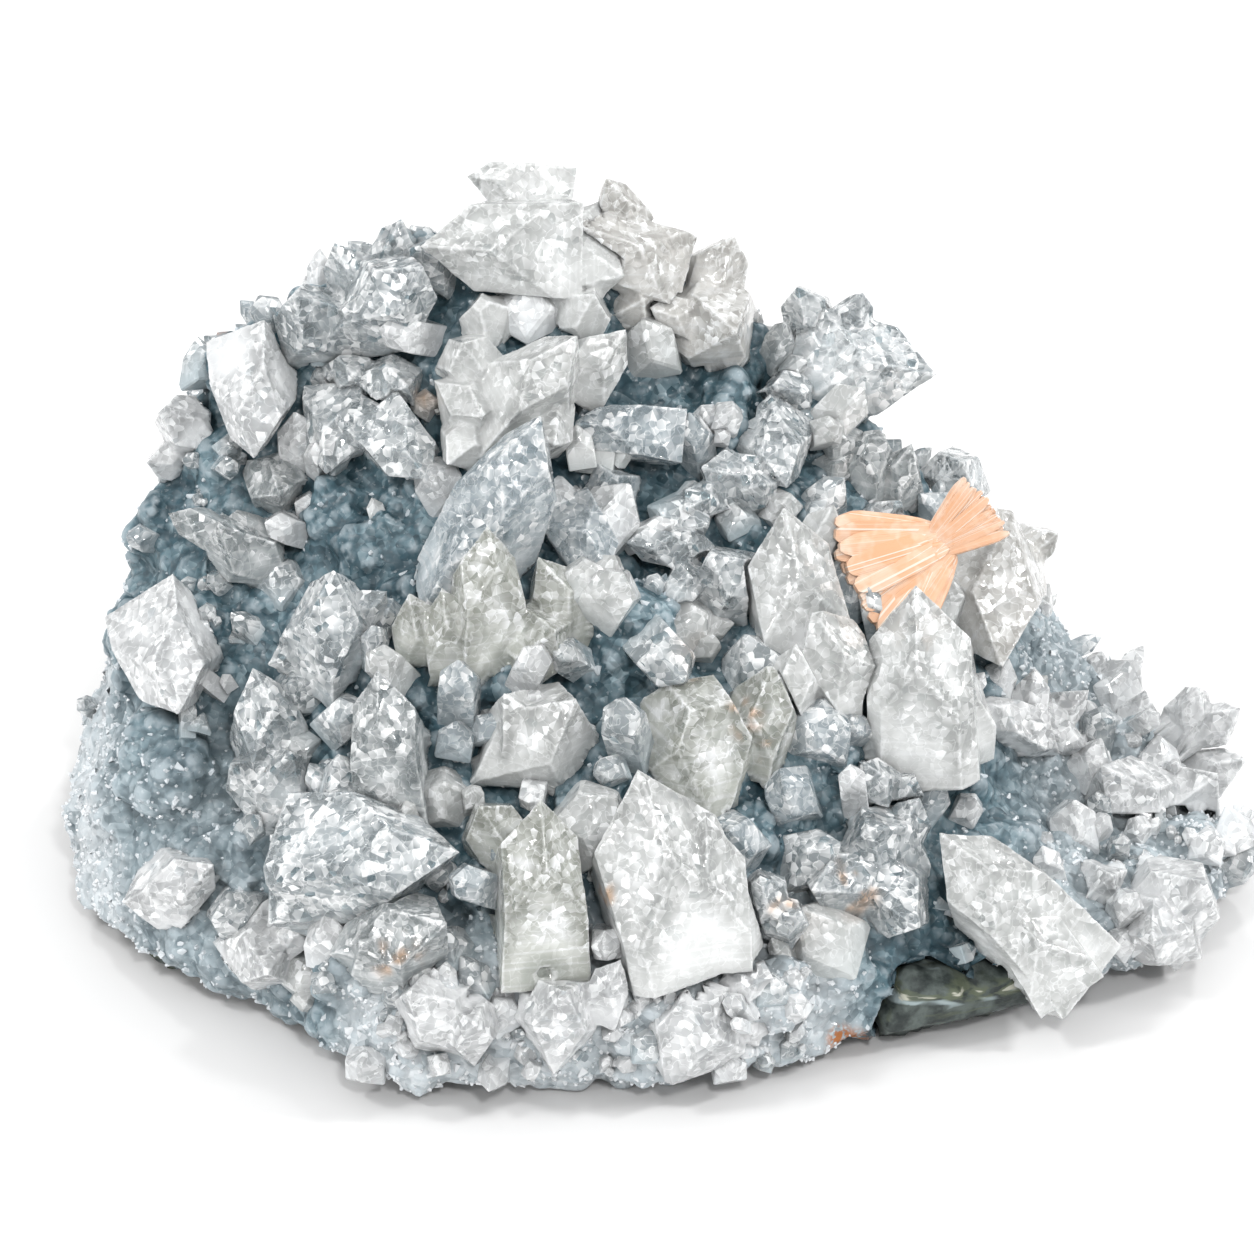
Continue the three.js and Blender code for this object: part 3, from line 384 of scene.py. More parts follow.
# The side that lies on the basalt is hidden, so it keeps a tenth of its faces.
basalt_tree = tree_of([basalt])
bpy.context.view_layer.objects.active = crust
bpy.ops.object.mode_set(mode="EDIT")
bpy.ops.mesh.select_all(action="DESELECT")
bpy.ops.object.mode_set(mode="OBJECT")
for corner in crust.data.vertices:
    corner.select = basalt_tree.find_nearest(corner.co, CRUST_BACK)[0] is not None
bpy.ops.object.mode_set(mode="EDIT")
bpy.ops.mesh.decimate(ratio=BACK_KEPT)
bpy.ops.object.mode_set(mode="OBJECT")
crust.data.validate()
crust.data.update()
SOIL_NODES = ("basalt_base", "chalcedony_crust")
solid_stands = [node for name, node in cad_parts.items() if name not in SOIL_NODES]
deepness = hollows(crust, tree_of([crust] + solid_stands))
x, y, z = places_of(crust).T / MM
rim = eased(-x - 0.28 * z, 60, 70)
lip = eased(-z, -26, -12) * eased(x, -42, -34) * eased(-x, -28, -18) * eased(-y, 20, 34)
shelf = eased(-x, 36, 52) * eased(-z, -38, -20)
wing = eased(x, 40, 54)
# Painted shade: the share of closed-in rays darkens the hollows in the material.
store(crust.data, "hollow_shade", eased(deepness, 0.3, 0.85))
pallor = np.clip(rim + 1.1 * lip + 0.36 * shelf + 0.62 * wing, 0, 1)
store(crust.data, "pale", pallor)
store(crust.data, "rust", stained(crust, CRUST_STAINS))
# Painted light and shade: ridges of the lumps are painted lighter as highlights, creases darker as shade.
bulge = sharpness(crust)
store(crust.data, "edge", eased(bulge, 0.03, 0.16) - eased(-bulge, 0.02, 0.12))

wax = Shading("chalcedony")
here = wax.place()
cloud = wax.noise(here, 110, 2)
grain = wax.noise(here, 1500, 2)
hollow_shade = wax.attribute("hollow_shade")
pale = wax.attribute("pale")
knob, knob_slant = wax.slant(here, 360, 1.3)
crumb, crumb_slant = wax.slant(here, 1000, 1.3)
# Partly tone that differs at random from cell to cell, partly painted light and shade running across each
# cell as across a lit facet; weaker in the hollows.
cell_tone_and_shade = (knob_slant + crumb_slant) * (1 - hollow_shade * 0.5)
blue = wax.mixed((0.070, 0.138, 0.172), (0.125, 0.215, 0.255), cloud.between(0.35, 0.65))
# Painted shade: darker where the crust is closed in between lumps and crystals.
blue = wax.mixed(blue, (0.018, 0.058, 0.076), hollow_shade * 0.9)
blue = wax.mixed(blue, (0.34, 0.45, 0.495), cell_tone_and_shade * 0.9)
blue = wax.mixed(blue, (0.05, 0.085, 0.105), cell_tone_and_shade * -0.7)
blue = wax.mixed(blue, (0.74, 0.785, 0.81), pale * (cell_tone_and_shade * 0.4 + 0.75))
# Painted shade in the creases between lumps, then painted highlights on their ridges.
blue = wax.mixed(blue, (0.03, 0.055, 0.07), wax.attribute("edge") * (pale * 0.4 - 0.55))
blue = wax.mixed(blue, (0.50, 0.57, 0.61), wax.attribute("edge") * (0.5 - hollow_shade * 0.3))
# Painted glints: fine white specks standing in for the sparkle of the druse.
blue = wax.mixed(blue, (0.80, 0.84, 0.86), grain.between(0.64, 0.7) * (0.2 + pale * 0.35))
blue = wax.mixed(blue, (0.42, 0.14, 0.03), wax.attribute("rust") * grain.between(0.38, 0.5))
wax_surface = wax.principled(
    {
        "Base Color": blue,
        "Roughness": grain.between(0.3, 0.7) * 0.3 + 0.28,
        "IOR": 1.54,
        "Normal": wax.facets(crumb, 0.6, wax.facets(knob, 0.5)),
    }
)
crust.data.materials.append(wax.surface(wax_surface))
pick([crust, basalt])
bpy.ops.object.shade_smooth()
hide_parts("chalcedony_crust")
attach(crust, "root")

# The apophyllite stands. Square prisms under four-sided points, grown together:
# glassy and crackled in the points, milky and banded in the prisms. Their roots are
# painted a darker blue, as painted shade and as the chalcedony seen through them,
# and their sharp edges and small facets carry painted highlights and shade.

APOPHYLLITE_IOR = 1.535
BODY_DENSITY = 12.0
ground = tree_of([crust, basalt])
dents = relief("apophyllite_dents", "CLOUDS", 3.4 * MM, noise_depth=1)
plates = relief("apophyllite_plates", "VORONOI", 2.8 * MM, weight_1=-1.0, weight_2=1.0)


def apophyllite_finish(name, clear, milky, root, body):
    """Glass and milk mixed by the milk of each vertex, over facets like those of crushed glass."""
    shade = Shading(name)
    here = shade.place()
    crackle = shade.attribute("crackle")
    broad, broad_slant = shade.slant(here, 430, 1.6)
    fine, fine_slant = shade.slant(here, 1000, 1.6)
    # Painted light and shade: each cell runs from dark to light across itself, as a broken facet refracts
    # light, over tones that differ at random.
    patches = shade.math("MAXIMUM", broad_slant * 0.75 + fine_slant * 0.8, -0.4)
    scratch = shade.noise(here, 620, 1)
    lines = (1 - shade.math("ABSOLUTE", scratch - 0.5) * 48).between(0.0, 1.0)
    glints = fine.between(0.80, 0.83) * crackle
    flecks = (1 - fine).between(0.84, 0.87) * crackle
    growth = shade.streaks(shade.attribute("along"), 1.4, 1, 0.7)
    bands = growth.between(0.5, 0.7) * (1 - crackle)
    strength = crackle * 0.52 + 0.1
    lines = lines * (crackle * 0.75 + 0.25)
    milk = shade.attribute("milk") + patches * strength * 0.9 + glints * 0.4 + lines * 0.3
    white = shade.attribute("tone") + patches * strength * 1.8 + lines * 0.8 + bands * 0.3 + glints
    white = shade.mixed(milky, (0.92, 0.935, 0.94), white)
    # Dark flecks, and the dark side of each patch as painted shade, in the root colour.
    white = shade.mixed(white, root, flecks * 0.8 - patches * strength)
    # Painted shade and the chalcedony's blue seen through, painted at the foot of each crystal.
    white = shade.mixed(white, root, shade.attribute("root"))
    white = shade.mixed(white, (0.72, 0.40, 0.18), shade.attribute("rust"))
    wide_facets = shade.facets(broad, crackle * 0.4 + 0.05)
    glass = shade.principled(
        {
            "Base Color": clear,
            "Roughness": 0.03,
            "IOR": APOPHYLLITE_IOR,
            "Transmission Weight": 1.0,
            "Normal": shade.facets(fine, crackle * 0.45 + 0.1, wide_facets),
        }
    )
    milk_glass = shade.principled(
        {"Base Color": white, "Roughness": 0.1, "IOR": APOPHYLLITE_IOR, "Normal": wide_facets}
    )
    shade.inside(shade.node("ShaderNodeVolumeAbsorption", {}, {"Color": body, "Density": BODY_DENSITY}))
    return shade.surface(shade.node("ShaderNodeMixShader", {}, {0: milk, 1: glass, 2: milk_glass}))


# Each finish: the glass colour, the milky colour, a darker blue root colour for painted shade and for the
# chalcedony seen through, and the colour the body absorbs.
TINTS = {
    "clear": ((0.98, 0.99, 0.99), (0.66, 0.715, 0.74), (0.33, 0.45, 0.50), (0.86, 0.93, 0.95)),
    "milky": ((0.98, 0.985, 0.98), (0.72, 0.735, 0.72), (0.56, 0.61, 0.61), (0.90, 0.92, 0.92)),
    "olive": ((0.95, 0.96, 0.91), (0.56, 0.58, 0.51), (0.38, 0.42, 0.38), (0.80, 0.82, 0.66)),
    "beige": ((0.98, 0.97, 0.95), (0.70, 0.685, 0.645), (0.52, 0.52, 0.50), (0.90, 0.87, 0.78)),
    "blue": ((0.94, 0.97, 0.985), (0.54, 0.63, 0.68), (0.30, 0.40, 0.45), (0.70, 0.84, 0.90)),
    "grey": ((0.95, 0.96, 0.96), (0.48, 0.53, 0.54), (0.30, 0.36, 0.38), (0.78, 0.84, 0.85)),
    "white": ((0.98, 0.985, 0.99), (0.86, 0.875, 0.885), (0.71, 0.755, 0.78), (0.95, 0.96, 0.97)),
}
FINISHES = {name: apophyllite_finish("apophyllite_" + name, *tints) for name, tints in TINTS.items()}
MILKINESS = {
    "clear": (0.48, 0.30, 1.0), "milky": (0.57, 0.55, 0.5), "olive": (0.50, 0.45, 0.4),
    "beige": (0.58, 0.55, 0.5), "blue": (0.48, 0.4, 0.7), "grey": (0.45, 0.45, 0.6),
    "white": (0.60, 0.4, 0.85),
}
STAND_FINISH = {
    "barrel_crystal": "milky", "tower_crystal": "milky", "flat_topped_block": "olive",
    "boulder_crystal": "milky", "green_barrel": "olive", "reclining_crystal": "clear",
    "wing_spear": "milky", "banded_spire": "blue", "crown_crystals": "milky",
    "pebble_crystal": "clear", "shoulder_crystal": "beige", "rose_block": "beige",
    "bank_hanging": "white", "striated_crystals": "milky", "crown_right": "beige",
    "blue_heart": "blue", "grey_pillars": "grey", "vug_roof": "grey", "olive_spires": "olive",
    "leaf_crystal": "grey", "left_round": "grey", "white_boulder": "white",
    "wing_mass": "white", "wing_round": "white", "wing_white": "white",
    "lip_left": "white", "lip_middle": "white",
    "lip_right": "white", "lower_left_white": "white", "streaked_crystal": "grey",
    "pointing_crystal": "blue", "tent_crystals": "milky", "wing_points": "white", "wing_druse": "white",
    "star_cluster": "white", "bank_outer": "clear", "left_edge_crystal": "white", "shelf_striped": "white",
}
AXES = {
    "banded_spire": (0.36, 0.82, 0.44), "crown_crystals": (-0.9, -0.05, 0.42),
    "reclining_crystal": (0.9, 0.08, 0.42), "wing_spear": (-0.62, 0.67, 0.41),
    "striated_crystals": (0.56, 0.6, 0.57), "rose_block": (0.12, -0.72, 0.68),
}
UPRIGHT = (0.0, 0.86, 0.5)
CRYSTAL_STAINS = (
    (26.5, -31.5, 3.2), (14, -11, 2.0), (9, -4.5, 2.2), (-27, -39, 2.6), (18.5, -34, 1.6),
    (-24.5, 28.5, 1.6), (16.5, -15, 1.2), (-3, -31.5, 1.4),
)


def seen_way(right, up, near):
    """A direction from how it looks in the front view: right, up and towards the eye."""
    return (RIGHT * right + UP * up + NEAR * near).normalized()


def cloudiness(place):
    """Veils inside a crystal, from 0 to 1."""
    return 0.5 + 0.6 * noise.noise(place * 260) + 0.4 * noise.noise(place * 640)


def look(piece, finish, tips, edges, inset, along):
    """Stores what the material of a crystal reads at each vertex: a clear skin round a white core."""
    least, height, crackled = MILKINESS[finish]
    veils = np.array([cloudiness(corner.co) for corner in piece.data.vertices])
    tips = np.asarray(tips)
    foot = eased(1 - tips, 0.9 - height, 1.2 - height)
    crackle = (1 - foot) * (0.55 + 0.45 * eased(veils, 0.3, 0.6)) * crackled
    # Sharp edges are made milkier and lighter: painted highlights along them.
    milk = least + foot * 0.2 + inset * 0.2 + edges * 0.2
    tone = 0.25 + inset * (0.15 + 0.5 * eased(veils, 0.3, 0.9)) + edges * 0.4
    store(piece.data, "crackle", crackle)
    store(piece.data, "milk", np.clip(milk, 0, 0.95))
    store(piece.data, "tone", np.clip(tone, 0, 1))
    store(piece.data, "along", along)
    # Painted shade near the foot, with the chalcedony's blue seen through, kept off the edges.
    store(piece.data, "root", eased(1 - tips, 0.75, 1.0) * 0.6 * (1 - edges))
    store(piece.data, "rust", stained(piece, CRYSTAL_STAINS) * eased(veils, 0.45, 0.85) * 0.7)
    piece.data.materials.append(FINISHES[finish])


def inset_from(places, edges):
    """0 on a sharp edge and 1 from a few millimetres inside a face."""
    sharp = [place for place, edge in zip(places, edges) if edge > 0.5]
    if not sharp:
        return np.ones(len(places))
    tree = KDTree(len(sharp))
    for index, place in enumerate(sharp):
        tree.insert(place, index)
    tree.balance()
    return eased(np.array([tree.find(place)[2] for place in places]) / MM, 0.5, 3.2)


CELL = 0.42
FULLEST = 0.99
ROOT_REACH = 1.0 * MM
ROOT_DEPTH = 0.4 * MM
stands = []
for node in sorted(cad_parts):
    if node in SOIL_NODES or node.startswith("stilbite"):
        continue
    piece = fresh_copy(node, node + "_grown")
    extent = max(piece.dimensions) / MM
    depth = math.ceil(math.log2(extent / (FULLEST * CELL)))
    fill = extent / (CELL * 2**depth)
    apply(piece, "REMESH", mode="SHARP", octree_depth=depth, scale=fill, sharpness=1.0)
    apply(piece, "DISPLACE", texture=dents, strength=0.2 * MM, mid_level=0.5)
    apply(piece, "DISPLACE", texture=plates, strength=0.35 * MM, mid_level=0.4)
    apply(piece, "SMOOTH", factor=0.5, iterations=2)
    axis = seen_way(*AXES.get(node, UPRIGHT))
    nearest = [ground.find_nearest(corner.co) for corner in piece.data.vertices]
    gaps = [gap for spot, facing, index, gap in nearest]
    rooted = min(gaps) + ROOT_REACH
    for corner, (spot, facing, index, gap) in zip(piece.data.vertices, nearest):
        if gap < rooted:
            corner.co = spot + (spot - corner.co).normalized() * ROOT_DEPTH
    tips = np.array(gaps) / max(gaps)
    # Sharp edges, which the material paints lighter as highlights.
    edges = eased(sharpness(piece), 0.06, 0.2)
    places = places_of(piece)
    along = places @ np.array(axis) / MM
    look(piece, STAND_FINISH.get(node, "clear"), tips, edges, inset_from(places, edges), along)
    pick([piece])
    bpy.ops.object.shade_smooth()
    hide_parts(node)
    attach(piece, "root")
    stands.append(piece)

# The small apophyllite. Hundreds of glassy points and blocks a few millimetres
# long that crowd the crust between the stands, leaving bare chalcedony in the
# hollows and on the lower left shelf.

BARE_PLACES = (
    (-29.6, 11, 8), (-34, 15, 6), (-47, 1, 4.5), (-51, 32, 6), (3.5, 29.5, 5), (2.3, 4.6, 4), (4, 18, 5),
    (18, 41, 4), (53, -6, 6), (48.5, -21.6, 6), (-58, -30, 11), (-54, -39, 7), (-39, -50, 4),
    (-1, -7, 4), (-58, -16, 8), (-48, -18, 5), (38, -43, 11), (-57, 30, 6), (-60, 20, 5), (-62, 4, 6),
    (-40, -51, 6), (12, 31, 5), (-66, -26, 9), (56, -4, 6), (-22, 5, 4),
)
NAMED_SMALL = (
    (-38, 31.2, 4, "clear"), (-34.2, 31.2, 6, "grey"), (-27.9, 31.9, 4, "beige"), (-25, 27.7, 4, "beige"),
    (-55.2, 13.4, 4.5, "white"), (-4.1, 6, 3, "white"), (6.4, 4.4, 4, "clear"), (3.5, 5, 3, "blue"),
    (-47.2, -0.4, 5, "clear"), (-52.4, 1.5, 3.5, "clear"), (-47, -25.4, 5, "clear"),
    (-40.2, -38.1, 4.5, "clear"), (-32.6, -54.6, 6, "white"), (-32, 2.5, 4.5, "clear"),
    (38.6, 16.1, 3, "clear"), (26.1, 14, 5, "milky"), (31.9, 14, 5, "grey"), (50.8, -8.8, 6, "clear"),
    (59.4, -13.1, 6, "clear"), (65.1, -7.6, 5, "clear"), (72.4, -31.9, 5, "milky"),
    (31.4, -18.5, 6, "clear"), (38, -19.1, 6, "clear"), (47, -40.2, 5, "clear"),
    (-17.2, 39.2, 8, "grey"), (-20.4, 22.6, 6, "clear"), (-19.1, 27.1, 6, "clear"),
    (-28.7, 47.1, 6, "clear"), (-43.7, 17.1, 8, "grey"), (8.2, 15, 6, "clear"), (13.4, 13.7, 6, "clear"),
    (28.4, 39.1, 6, "clear"), (22, 39.7, 6, "blue"), (25.9, 22.9, 7, "clear"), (33.9, 18.7, 7, "blue"),
    (40.9, 19, 6, "clear"),
)
BEDS = (
    (-30, 22, -56, -43, 420, 2.5, 6.0, 1.0, ("white", "white", "clear")),
    (44, 78, -40, -6, 460, 4.5, 9.0, 0.9, ("white", "white", "white", "clear")),
    (-48, 44, -42, 60, 1500, 7.0, 11.0, 1.0, ("clear", "clear", "milky", "white", "blue")),
    (-48, 44, -45, 60, 1200, 4.5, 7.0, 1.0, ("clear", "clear", "white", "milky", "blue", "grey")),
    (-70, -48, -45, 40, 200, 3.0, 6.0, 0.25, ("clear", "white", "blue")),
    (-60, 76, -50, 60, 500, 2.0, 3.5, 0.6, ("clear", "white", "white")),
)
dice = random.Random(11)


def small_crystal(name, width, height, rise, flat):
    """A square prism cut to a point by four faces, or to a flat top above them; its root is at 0."""
    bpy.ops.object.select_all(action="DESELECT")
    bpy.ops.mesh.primitive_cube_add(size=1, location=(0, 0, 0))
    crystal = bpy.context.object
    crystal.name = name
    bpy.ops.object.mode_set(mode="EDIT")
    bpy.ops.mesh.select_all(action="SELECT")
    bpy.ops.transform.resize(value=(width, width * 0.92, height))
    bpy.ops.transform.translate(value=(0, 0, height / 2))
    slope = math.radians(rise)
    for quarter in range(4):
        turn = math.radians(45 + 90 * quarter)
        facing = (math.cos(turn) * math.cos(slope), math.sin(turn) * math.cos(slope), math.sin(slope))
        bpy.ops.mesh.select_all(action="SELECT")
        bpy.ops.mesh.bisect(
            plane_co=(0, 0, height * flat), plane_no=facing, use_fill=True, clear_outer=True
        )
    bpy.ops.mesh.select_all(action="SELECT")
    bpy.ops.mesh.bevel(offset=width * 0.04, segments=1, affect="EDGES")
    bpy.ops.mesh.select_all(action="SELECT")
    bpy.ops.transform.vertex_random(offset=width * 0.015, seed=len(name))
    bpy.ops.object.mode_set(mode="OBJECT")
    return crystal


MODELS = [
    small_crystal("sharp_point", 0.62, 1.0, 35, 1.0),
    small_crystal("short_point", 0.80, 0.95, 34, 1.0),
    small_crystal("cut_block", 0.80, 0.85, 40, 1.25),
    small_crystal("long_point", 0.45, 1.25, 32, 1.0),
    small_crystal("flat_block", 0.95, 0.7, 45, 1.15),
]
SUNK = 0.3
EYE_DISTANCE = 588 * MM
crystal_tree = tree_of(stands)
planted = []
harvest = {name: [] for name in FINISHES}


def grow(spot, axis, size, finish):
    """A small crystal whose root is sunk at a spot."""
    model = dice.choices(MODELS, (5, 4, 1, 4, 1))[0]
    mesh = model.data.copy()
    store(mesh, "height", [min(1.0, corner.co.z) for corner in mesh.vertices])
    turned = axis.to_track_quat("Z", "Y").to_matrix().to_4x4()
    spun = Matrix.Rotation(dice.uniform(0, math.tau), 4, "Z")
    grown = Matrix.Scale(size * MM, 4)
    sunk = Matrix.Translation(spot - axis * size * SUNK * MM)
    mesh.transform(sunk @ turned @ spun @ grown)
    crystal = bpy.data.objects.new("small_crystal", mesh)
    bpy.context.scene.collection.objects.link(crystal)
    harvest[finish].append(crystal)


def joined(pieces, name):
    """Many loose shapes as one piece."""
    pick(pieces)
    if len(pieces) > 1:
        bpy.ops.object.join()
    whole = pieces[0]
    whole.name = name
    whole.data.materials.clear()
    return whole


def plant(spot, out, size, finish):
    """A crystal that leans out of the crust, a little up and forward, and the lesser ones at its foot."""
    stray = Vector((dice.gauss(0, 1), dice.gauss(0, 1), dice.gauss(0, 1)))
    axis = (out + UP * 0.4 + NEAR * 0.3 + stray * 0.33).normalized()
    axis.z = max(axis.z, -0.1)
    axis.normalize()
    grow(spot, axis, size, finish)
    planted.append((spot, size))
    for companion in range(dice.choice((0, 1, 2))):
        bearing = dice.uniform(0, math.tau)
        side = axis.orthogonal().normalized()
        aside = side * math.cos(bearing) + axis.cross(side) * math.sin(bearing)
        share = dice.uniform(0.45, 0.7)
        lean = (axis + aside * dice.uniform(0.0, 0.7)).normalized()
        grow(spot + aside * size * 0.42 * MM, lean, size * share, finish)


def crowded(spot, size, closeness):
    """Whether a spot is too near the crystals that stand already."""
    return any((spot - other).length < (size + wide) * closeness * MM for other, wide in planted)


def bare(u, v):
    """Whether a place of the front view is one where the chalcedony lies open."""
    return any(math.hypot(u - bare_u, v - bare_v) < wide for bare_u, bare_v, wide in BARE_PLACES)


def sow(u, v, size, finish):
    """Plants a crystal where the crust shows at a place of the front view."""
    eye = MIDDLE + NEAR * EYE_DISTANCE
    aim = (MIDDLE + RIGHT * u * MM + UP * v * MM - eye).normalized()
    spot, out, index, far = ground.ray_cast(eye, aim)
    hidden_by = crystal_tree.ray_cast(eye, aim)[3]
    if spot is None or (hidden_by is not None and hidden_by < far):
        return
    if not crowded(spot, size, 0.4):
        plant(spot, out, size, finish)


for u, v, size, finish in NAMED_SMALL:
    sow(u, v, size, finish)
for left, right, low, high, tries, least, most, closed, finishes in BEDS:
    for attempt in range(tries):
        u, v = dice.uniform(left, right), dice.uniform(low, high)
        if not bare(u, v) and dice.random() < closed:
            sow(u, v, dice.uniform(least, most), dice.choice(finishes))

RIM_DEPTH = 1.5 * MM
LEFT_EDGE = -60 * MM
SOIL_LOWEST = 9 * MM


def on_rock(place):
    """Whether the basalt is just below a place of the crust."""
    return basalt_tree.find_nearest(place, RIM_DEPTH)[0] is not None


soil = [
    corner
    for corner in crust.data.vertices
    if corner.normal.dot(NEAR) < 0.1 and corner.co.z > SOIL_LOWEST and not on_rock(corner.co)
]
for least, most, tries in ((4.5, 7.0, 300), (2.5, 4.5, 500)):
    for attempt in range(tries):
        corner = dice.choice(soil)
        spot = corner.co.copy()
        size = dice.uniform(least, most)
        taken = crystal_tree.find_nearest(spot)[3] < size * 0.2 * MM
        if spot.x < LEFT_EDGE or taken or crowded(spot, size, 0.45):
            continue
        finish = dice.choice(("clear", "clear", "milky", "white", "blue"))
        plant(spot, corner.normal.copy(), size, finish)

for finish, crystals in harvest.items():
    if not crystals:
        continue
    bed = joined(crystals, "small_crystals_" + finish)
    heights = np.empty(len(bed.data.vertices), np.float32)
    bed.data.attributes["height"].data.foreach_get("value", heights)
    even = np.zeros(len(heights))
    look(bed, finish, eased(heights, 0.1, 0.8), even, even + 0.6, even)
    bpy.ops.object.shade_smooth_by_angle(angle=math.radians(20))
    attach(bed, "root")
for model in MODELS:
    bpy.data.objects.remove(model)

# The quartz druse. Thousands of sugary points about a millimetre long, thickest on
# the pale rim, the lip and the right wing, scattered elsewhere on the chalcedony.

DRUSE_COUNT = 3400
DRUSE_LOWEST = 2 * MM
bpy.ops.object.select_all(action="DESELECT")
bpy.ops.mesh.primitive_cone_add(
    vertices=5, radius1=0.5, depth=1.0, end_fill_type="NOTHING", location=(0, 0, 0.25)
)
point = bpy.context.object
point.name = "druse_point"
bpy.ops.object.mode_set(mode="EDIT")
bpy.ops.mesh.select_all(action="SELECT")
bpy.ops.mesh.bisect(plane_co=(0, 0, 0.52), plane_no=(0.25, 0.1, 1), use_fill=True, clear_outer=True)
bpy.ops.object.mode_set(mode="OBJECT")

frost = Shading("quartz_druse")
frost_surface = frost.principled(
    {
        "Base Color": frost.mixed((0.45, 0.53, 0.58), (0.86, 0.89, 0.91), frost.attribute("shine")),
        "Roughness": 0.12,
        "IOR": 1.54,
        "Normal": frost.facets(frost.cells(frost.place(), 1500), 0.3),
    }
)
point_places = places_of(point)
point_faces = [list(face.vertices) for face in point.data.polygons]
spots = places_of(crust)
outward = places_of(crust, "normal")
weights = 0.15 + pallor * 1.2 + wing * 0.4
weights = weights * (1 - eased(deepness, 0.3, 0.9) * 0.8) * (spots[:, 2] > DRUSE_LOWEST)
weights[np.array([on_rock(corner.co) for corner in crust.data.vertices])] = 0
chosen = np.random.default_rng(5).choice(len(spots), DRUSE_COUNT, p=weights / weights.sum())
druse_places, druse_faces, shine = [], [], []
for index in chosen:
    spot, out = Vector(spots[index]), Vector(outward[index])
    stray = Vector((dice.gauss(0, 1), dice.gauss(0, 1), dice.gauss(0, 1))) * 0.35
    turned = (out + stray).normalized().to_track_quat("Z", "Y").to_matrix()
    size = dice.uniform(0.6, 1.5) * MM
    start = len(druse_places)
    druse_places += [spot + turned @ Vector(place) * size for place in point_places]
    druse_faces += [[start + corner for corner in face] for face in point_faces]
    shine += [0.35 + 0.5 * pallor[index] + dice.uniform(-0.2, 0.3)] * len(point_places)
mesh = bpy.data.meshes.new("druse")
mesh.from_pydata(druse_places, [], druse_faces)
druse = bpy.data.objects.new("druse", mesh)
bpy.context.scene.collection.objects.link(druse)
store(mesh, "shine", np.clip(shine, 0, 1))
mesh.materials.append(frost.surface(frost_surface))
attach(druse, "root")
bpy.data.objects.remove(point)

# The stilbite. Satiny peach blades that fan out from a waist like a bow tie:
# a thick orange sheaf, a finer brush beside it and a pale sliver at the centre.

PEACH = (0.80, 0.43, 0.24)
PALE_PEACH = (0.88, 0.67, 0.53)
SHEAVES = {
    "stilbite_fan": (38.0, 9.6, 6, 172, 248, 0.34, 14.0, 3.4, 5.0, 14, 4),
    "stilbite_brush": (38.4, 10.4, 6, 16, 60, 0.22, 9.5, 1.4, 3.0, 14, 3),
    "stilbite_sliver": (-2.4, 0.2, 5.5, 312, 334, 0.16, 12.0, 2.0, 1.6, 8, 3),
}
LAYER_LEAN = 0.13
BEHIND_WAIST = 0.14
BLADE_THICK = 0.9
bpy.ops.object.select_all(action="DESELECT")
bpy.ops.mesh.primitive_cube_add(size=1, location=(0, 0, 0))
blade = bpy.context.object
blade.name = "stilbite_blade"
bpy.ops.object.mode_set(mode="EDIT")
bpy.ops.mesh.select_all(action="SELECT")
bpy.ops.transform.translate(value=(0.5, 0, 0))
for side in (-1, 1):
    bpy.ops.mesh.select_all(action="SELECT")
    bpy.ops.mesh.bisect(
        plane_co=(0.82, side * 0.5, 0), plane_no=(0.6, side * 0.35, 0), use_fill=True, clear_outer=True
    )
    bpy.ops.mesh.select_all(action="SELECT")
    bpy.ops.mesh.bisect(
        plane_co=(0.0, side * 0.34, 0), plane_no=(-0.6, side * 1.0, 0), use_fill=True, clear_outer=True
    )
bpy.ops.mesh.select_all(action="SELECT")
bpy.ops.mesh.bevel(offset=0.06, segments=1, affect="EDGES")
bpy.ops.object.mode_set(mode="OBJECT")

